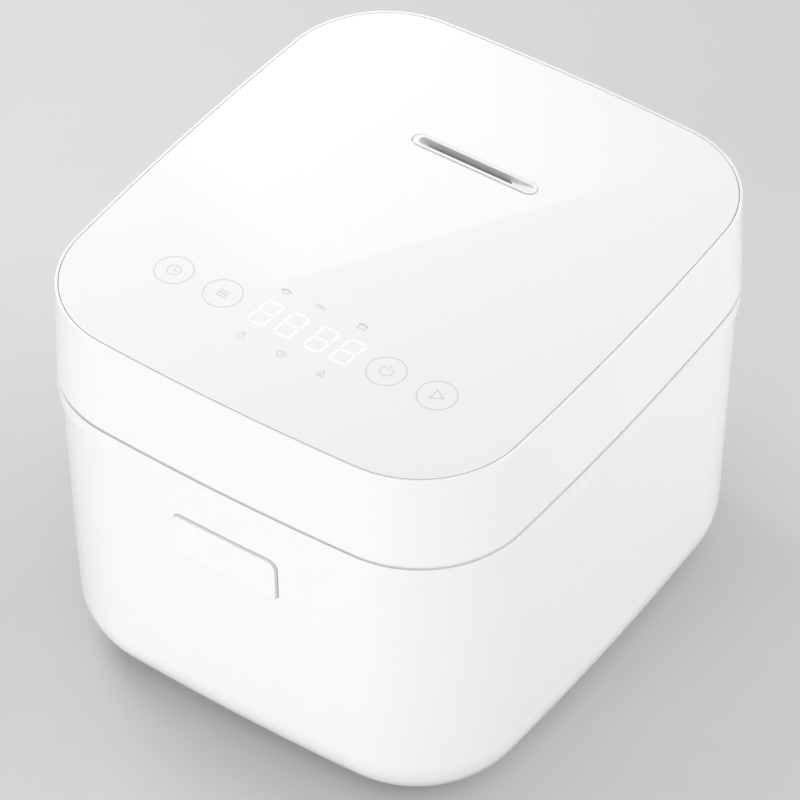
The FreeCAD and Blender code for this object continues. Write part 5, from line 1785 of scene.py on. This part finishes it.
@dataclass
class Studio:
    """The camera at the photograph's viewing angle, soft lights and a pale floor."""

    azimuth: float = 34.9136
    elevation: float = 43.7161
    distance: float = 2317.73
    target: Triple = (-4.28, 4.23, 109.87)
    lens: float = 221.55
    sensor: float = 36.0
    clip: Pair = (0.1, 50.0)
    roll: float = -0.0027
    sky: float = 0.40
    floor_half: float = 6.0
    floor_cells: int = 4
    lights: tuple[Softbox, ...] = (
        Softbox("panel light", (-1078.6, 1110.7, 1500.0), (1.00, 0.40), 0.95, level_turn=57.7,
                fade=((0.10, 0.0), (0.53, 0.42), (0.60, 1.0), (0.81, 1.0), (1.0, 0.3))),
        Softbox("panel glow", (-740.6, 897.1, 1500.0), (0.40, 1.00), 0.90, level_turn=-32.3,
                fade=((0.0, 0.50), (1.0, 0.0))),
        Softbox("front light", (0.0, -2300.0, 300.0), (1.6, 0.5), 30.5),
        Softbox("right light", (2200.0, 900.0, 300.0), (1.6, 0.5), 10.2),
        Softbox("back light", (1450.0, 1300.0, 650.0), (2.4, 1.1), 21.5),
        Softbox("top light", (0.0, 0.0, 2200.0), (2.4, 2.4), 17.2),
        Softbox("left light", (-700.0, 100.0, 800.0), (0.5, 0.5), 3.8, aim=(0.0, 0.0, 200.0)),
    )

    def build(self) -> None:
        """Sets up the camera, the sky, the lights and the floor."""
        self.camera()
        self.surroundings()
        for light in self.lights:
            light.hang()
        self.floor()

    def camera(self) -> None:
        """Places the camera."""
        a, e = math.radians(self.azimuth), math.radians(self.elevation)
        back = Vector((math.sin(a) * math.cos(e), -math.cos(a) * math.cos(e), math.sin(e)))
        right = Vector(UP).cross(back).normalized()
        turned = Matrix((right, back.cross(right), back)).transposed() @ Matrix.Rotation(self.roll, 3, "Z")
        data = bpy.data.cameras.new("photo camera")
        data.sensor_width, data.lens = self.sensor, self.lens
        data.clip_start, data.clip_end = self.clip
        camera = bpy.data.objects.new("photo camera", data)
        place = (Vector(self.target) + back * self.distance) * MM
        camera.matrix_world = Matrix.Translation(place) @ turned.to_4x4()
        bpy.context.scene.collection.objects.link(camera)
        bpy.context.scene.camera = camera

    def surroundings(self) -> None:
        """Sets an even bright sky and plain colour handling."""
        world = bpy.data.worlds.new("studio")
        world.use_nodes = True
        world.node_tree.nodes["Background"].inputs["Color"].default_value = (1.0, 1.0, 1.0, 1.0)
        world.node_tree.nodes["Background"].inputs["Strength"].default_value = self.sky
        bpy.context.scene.world = world
        bpy.context.scene.view_settings.view_transform = "Standard"

    def floor(self) -> None:
        """Lays the pale floor."""
        mesh = bpy.data.meshes.new("floor")
        bm = bmesh.new()
        bmesh.ops.create_grid(bm, x_segments=self.floor_cells, y_segments=self.floor_cells,
                              size=self.floor_half)
        bm.to_mesh(mesh)
        bm.free()
        mesh.materials.append(PALE_FLOOR.material())
        floor = bpy.data.objects.new("floor", mesh)
        bpy.context.scene.collection.objects.link(floor)


def dress_nodes(nodes: dict[str, bpy.types.Object]) -> None:
    """Gives every carried-over node its procedural finish.

    Args:
        nodes: The frame's nodes by name.
    """
    for name, node in nodes.items():
        for slot in node.material_slots:
            slot.material = SLOT_FINISHES[slot.material.name].material()
        log.info("%s: dressed", name)


def main() -> None:
    """Loads the frame, builds every piece in order and sets the stage."""
    logging.basicConfig(level=logging.INFO, format="%(name)s %(message)s")
    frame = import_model()
    dress_nodes(frame["nodes"])
    Lid().build()
    PanelPrint().build()
    Body().build()
    SeamRib().build()
    ReleaseButton().build()
    HingeCover().build()
    Feet().build()
    Pot().build()
    InnerLid().build()
    Springs().build()
    CrossScrews("base_fixings", "base_screws", "body", places=mirrored(92.05, 46.0), seat=3.0,
                length=9.0).build()
    CrossScrews("lid_fixings", "lid_screws", "lid", places=mirrored(118.0, 55.0), seat=170.4,
                length=9.5, head=(3.0, 1.2)).build()
    Studio().build()


if __name__ == "__main__":
    main()
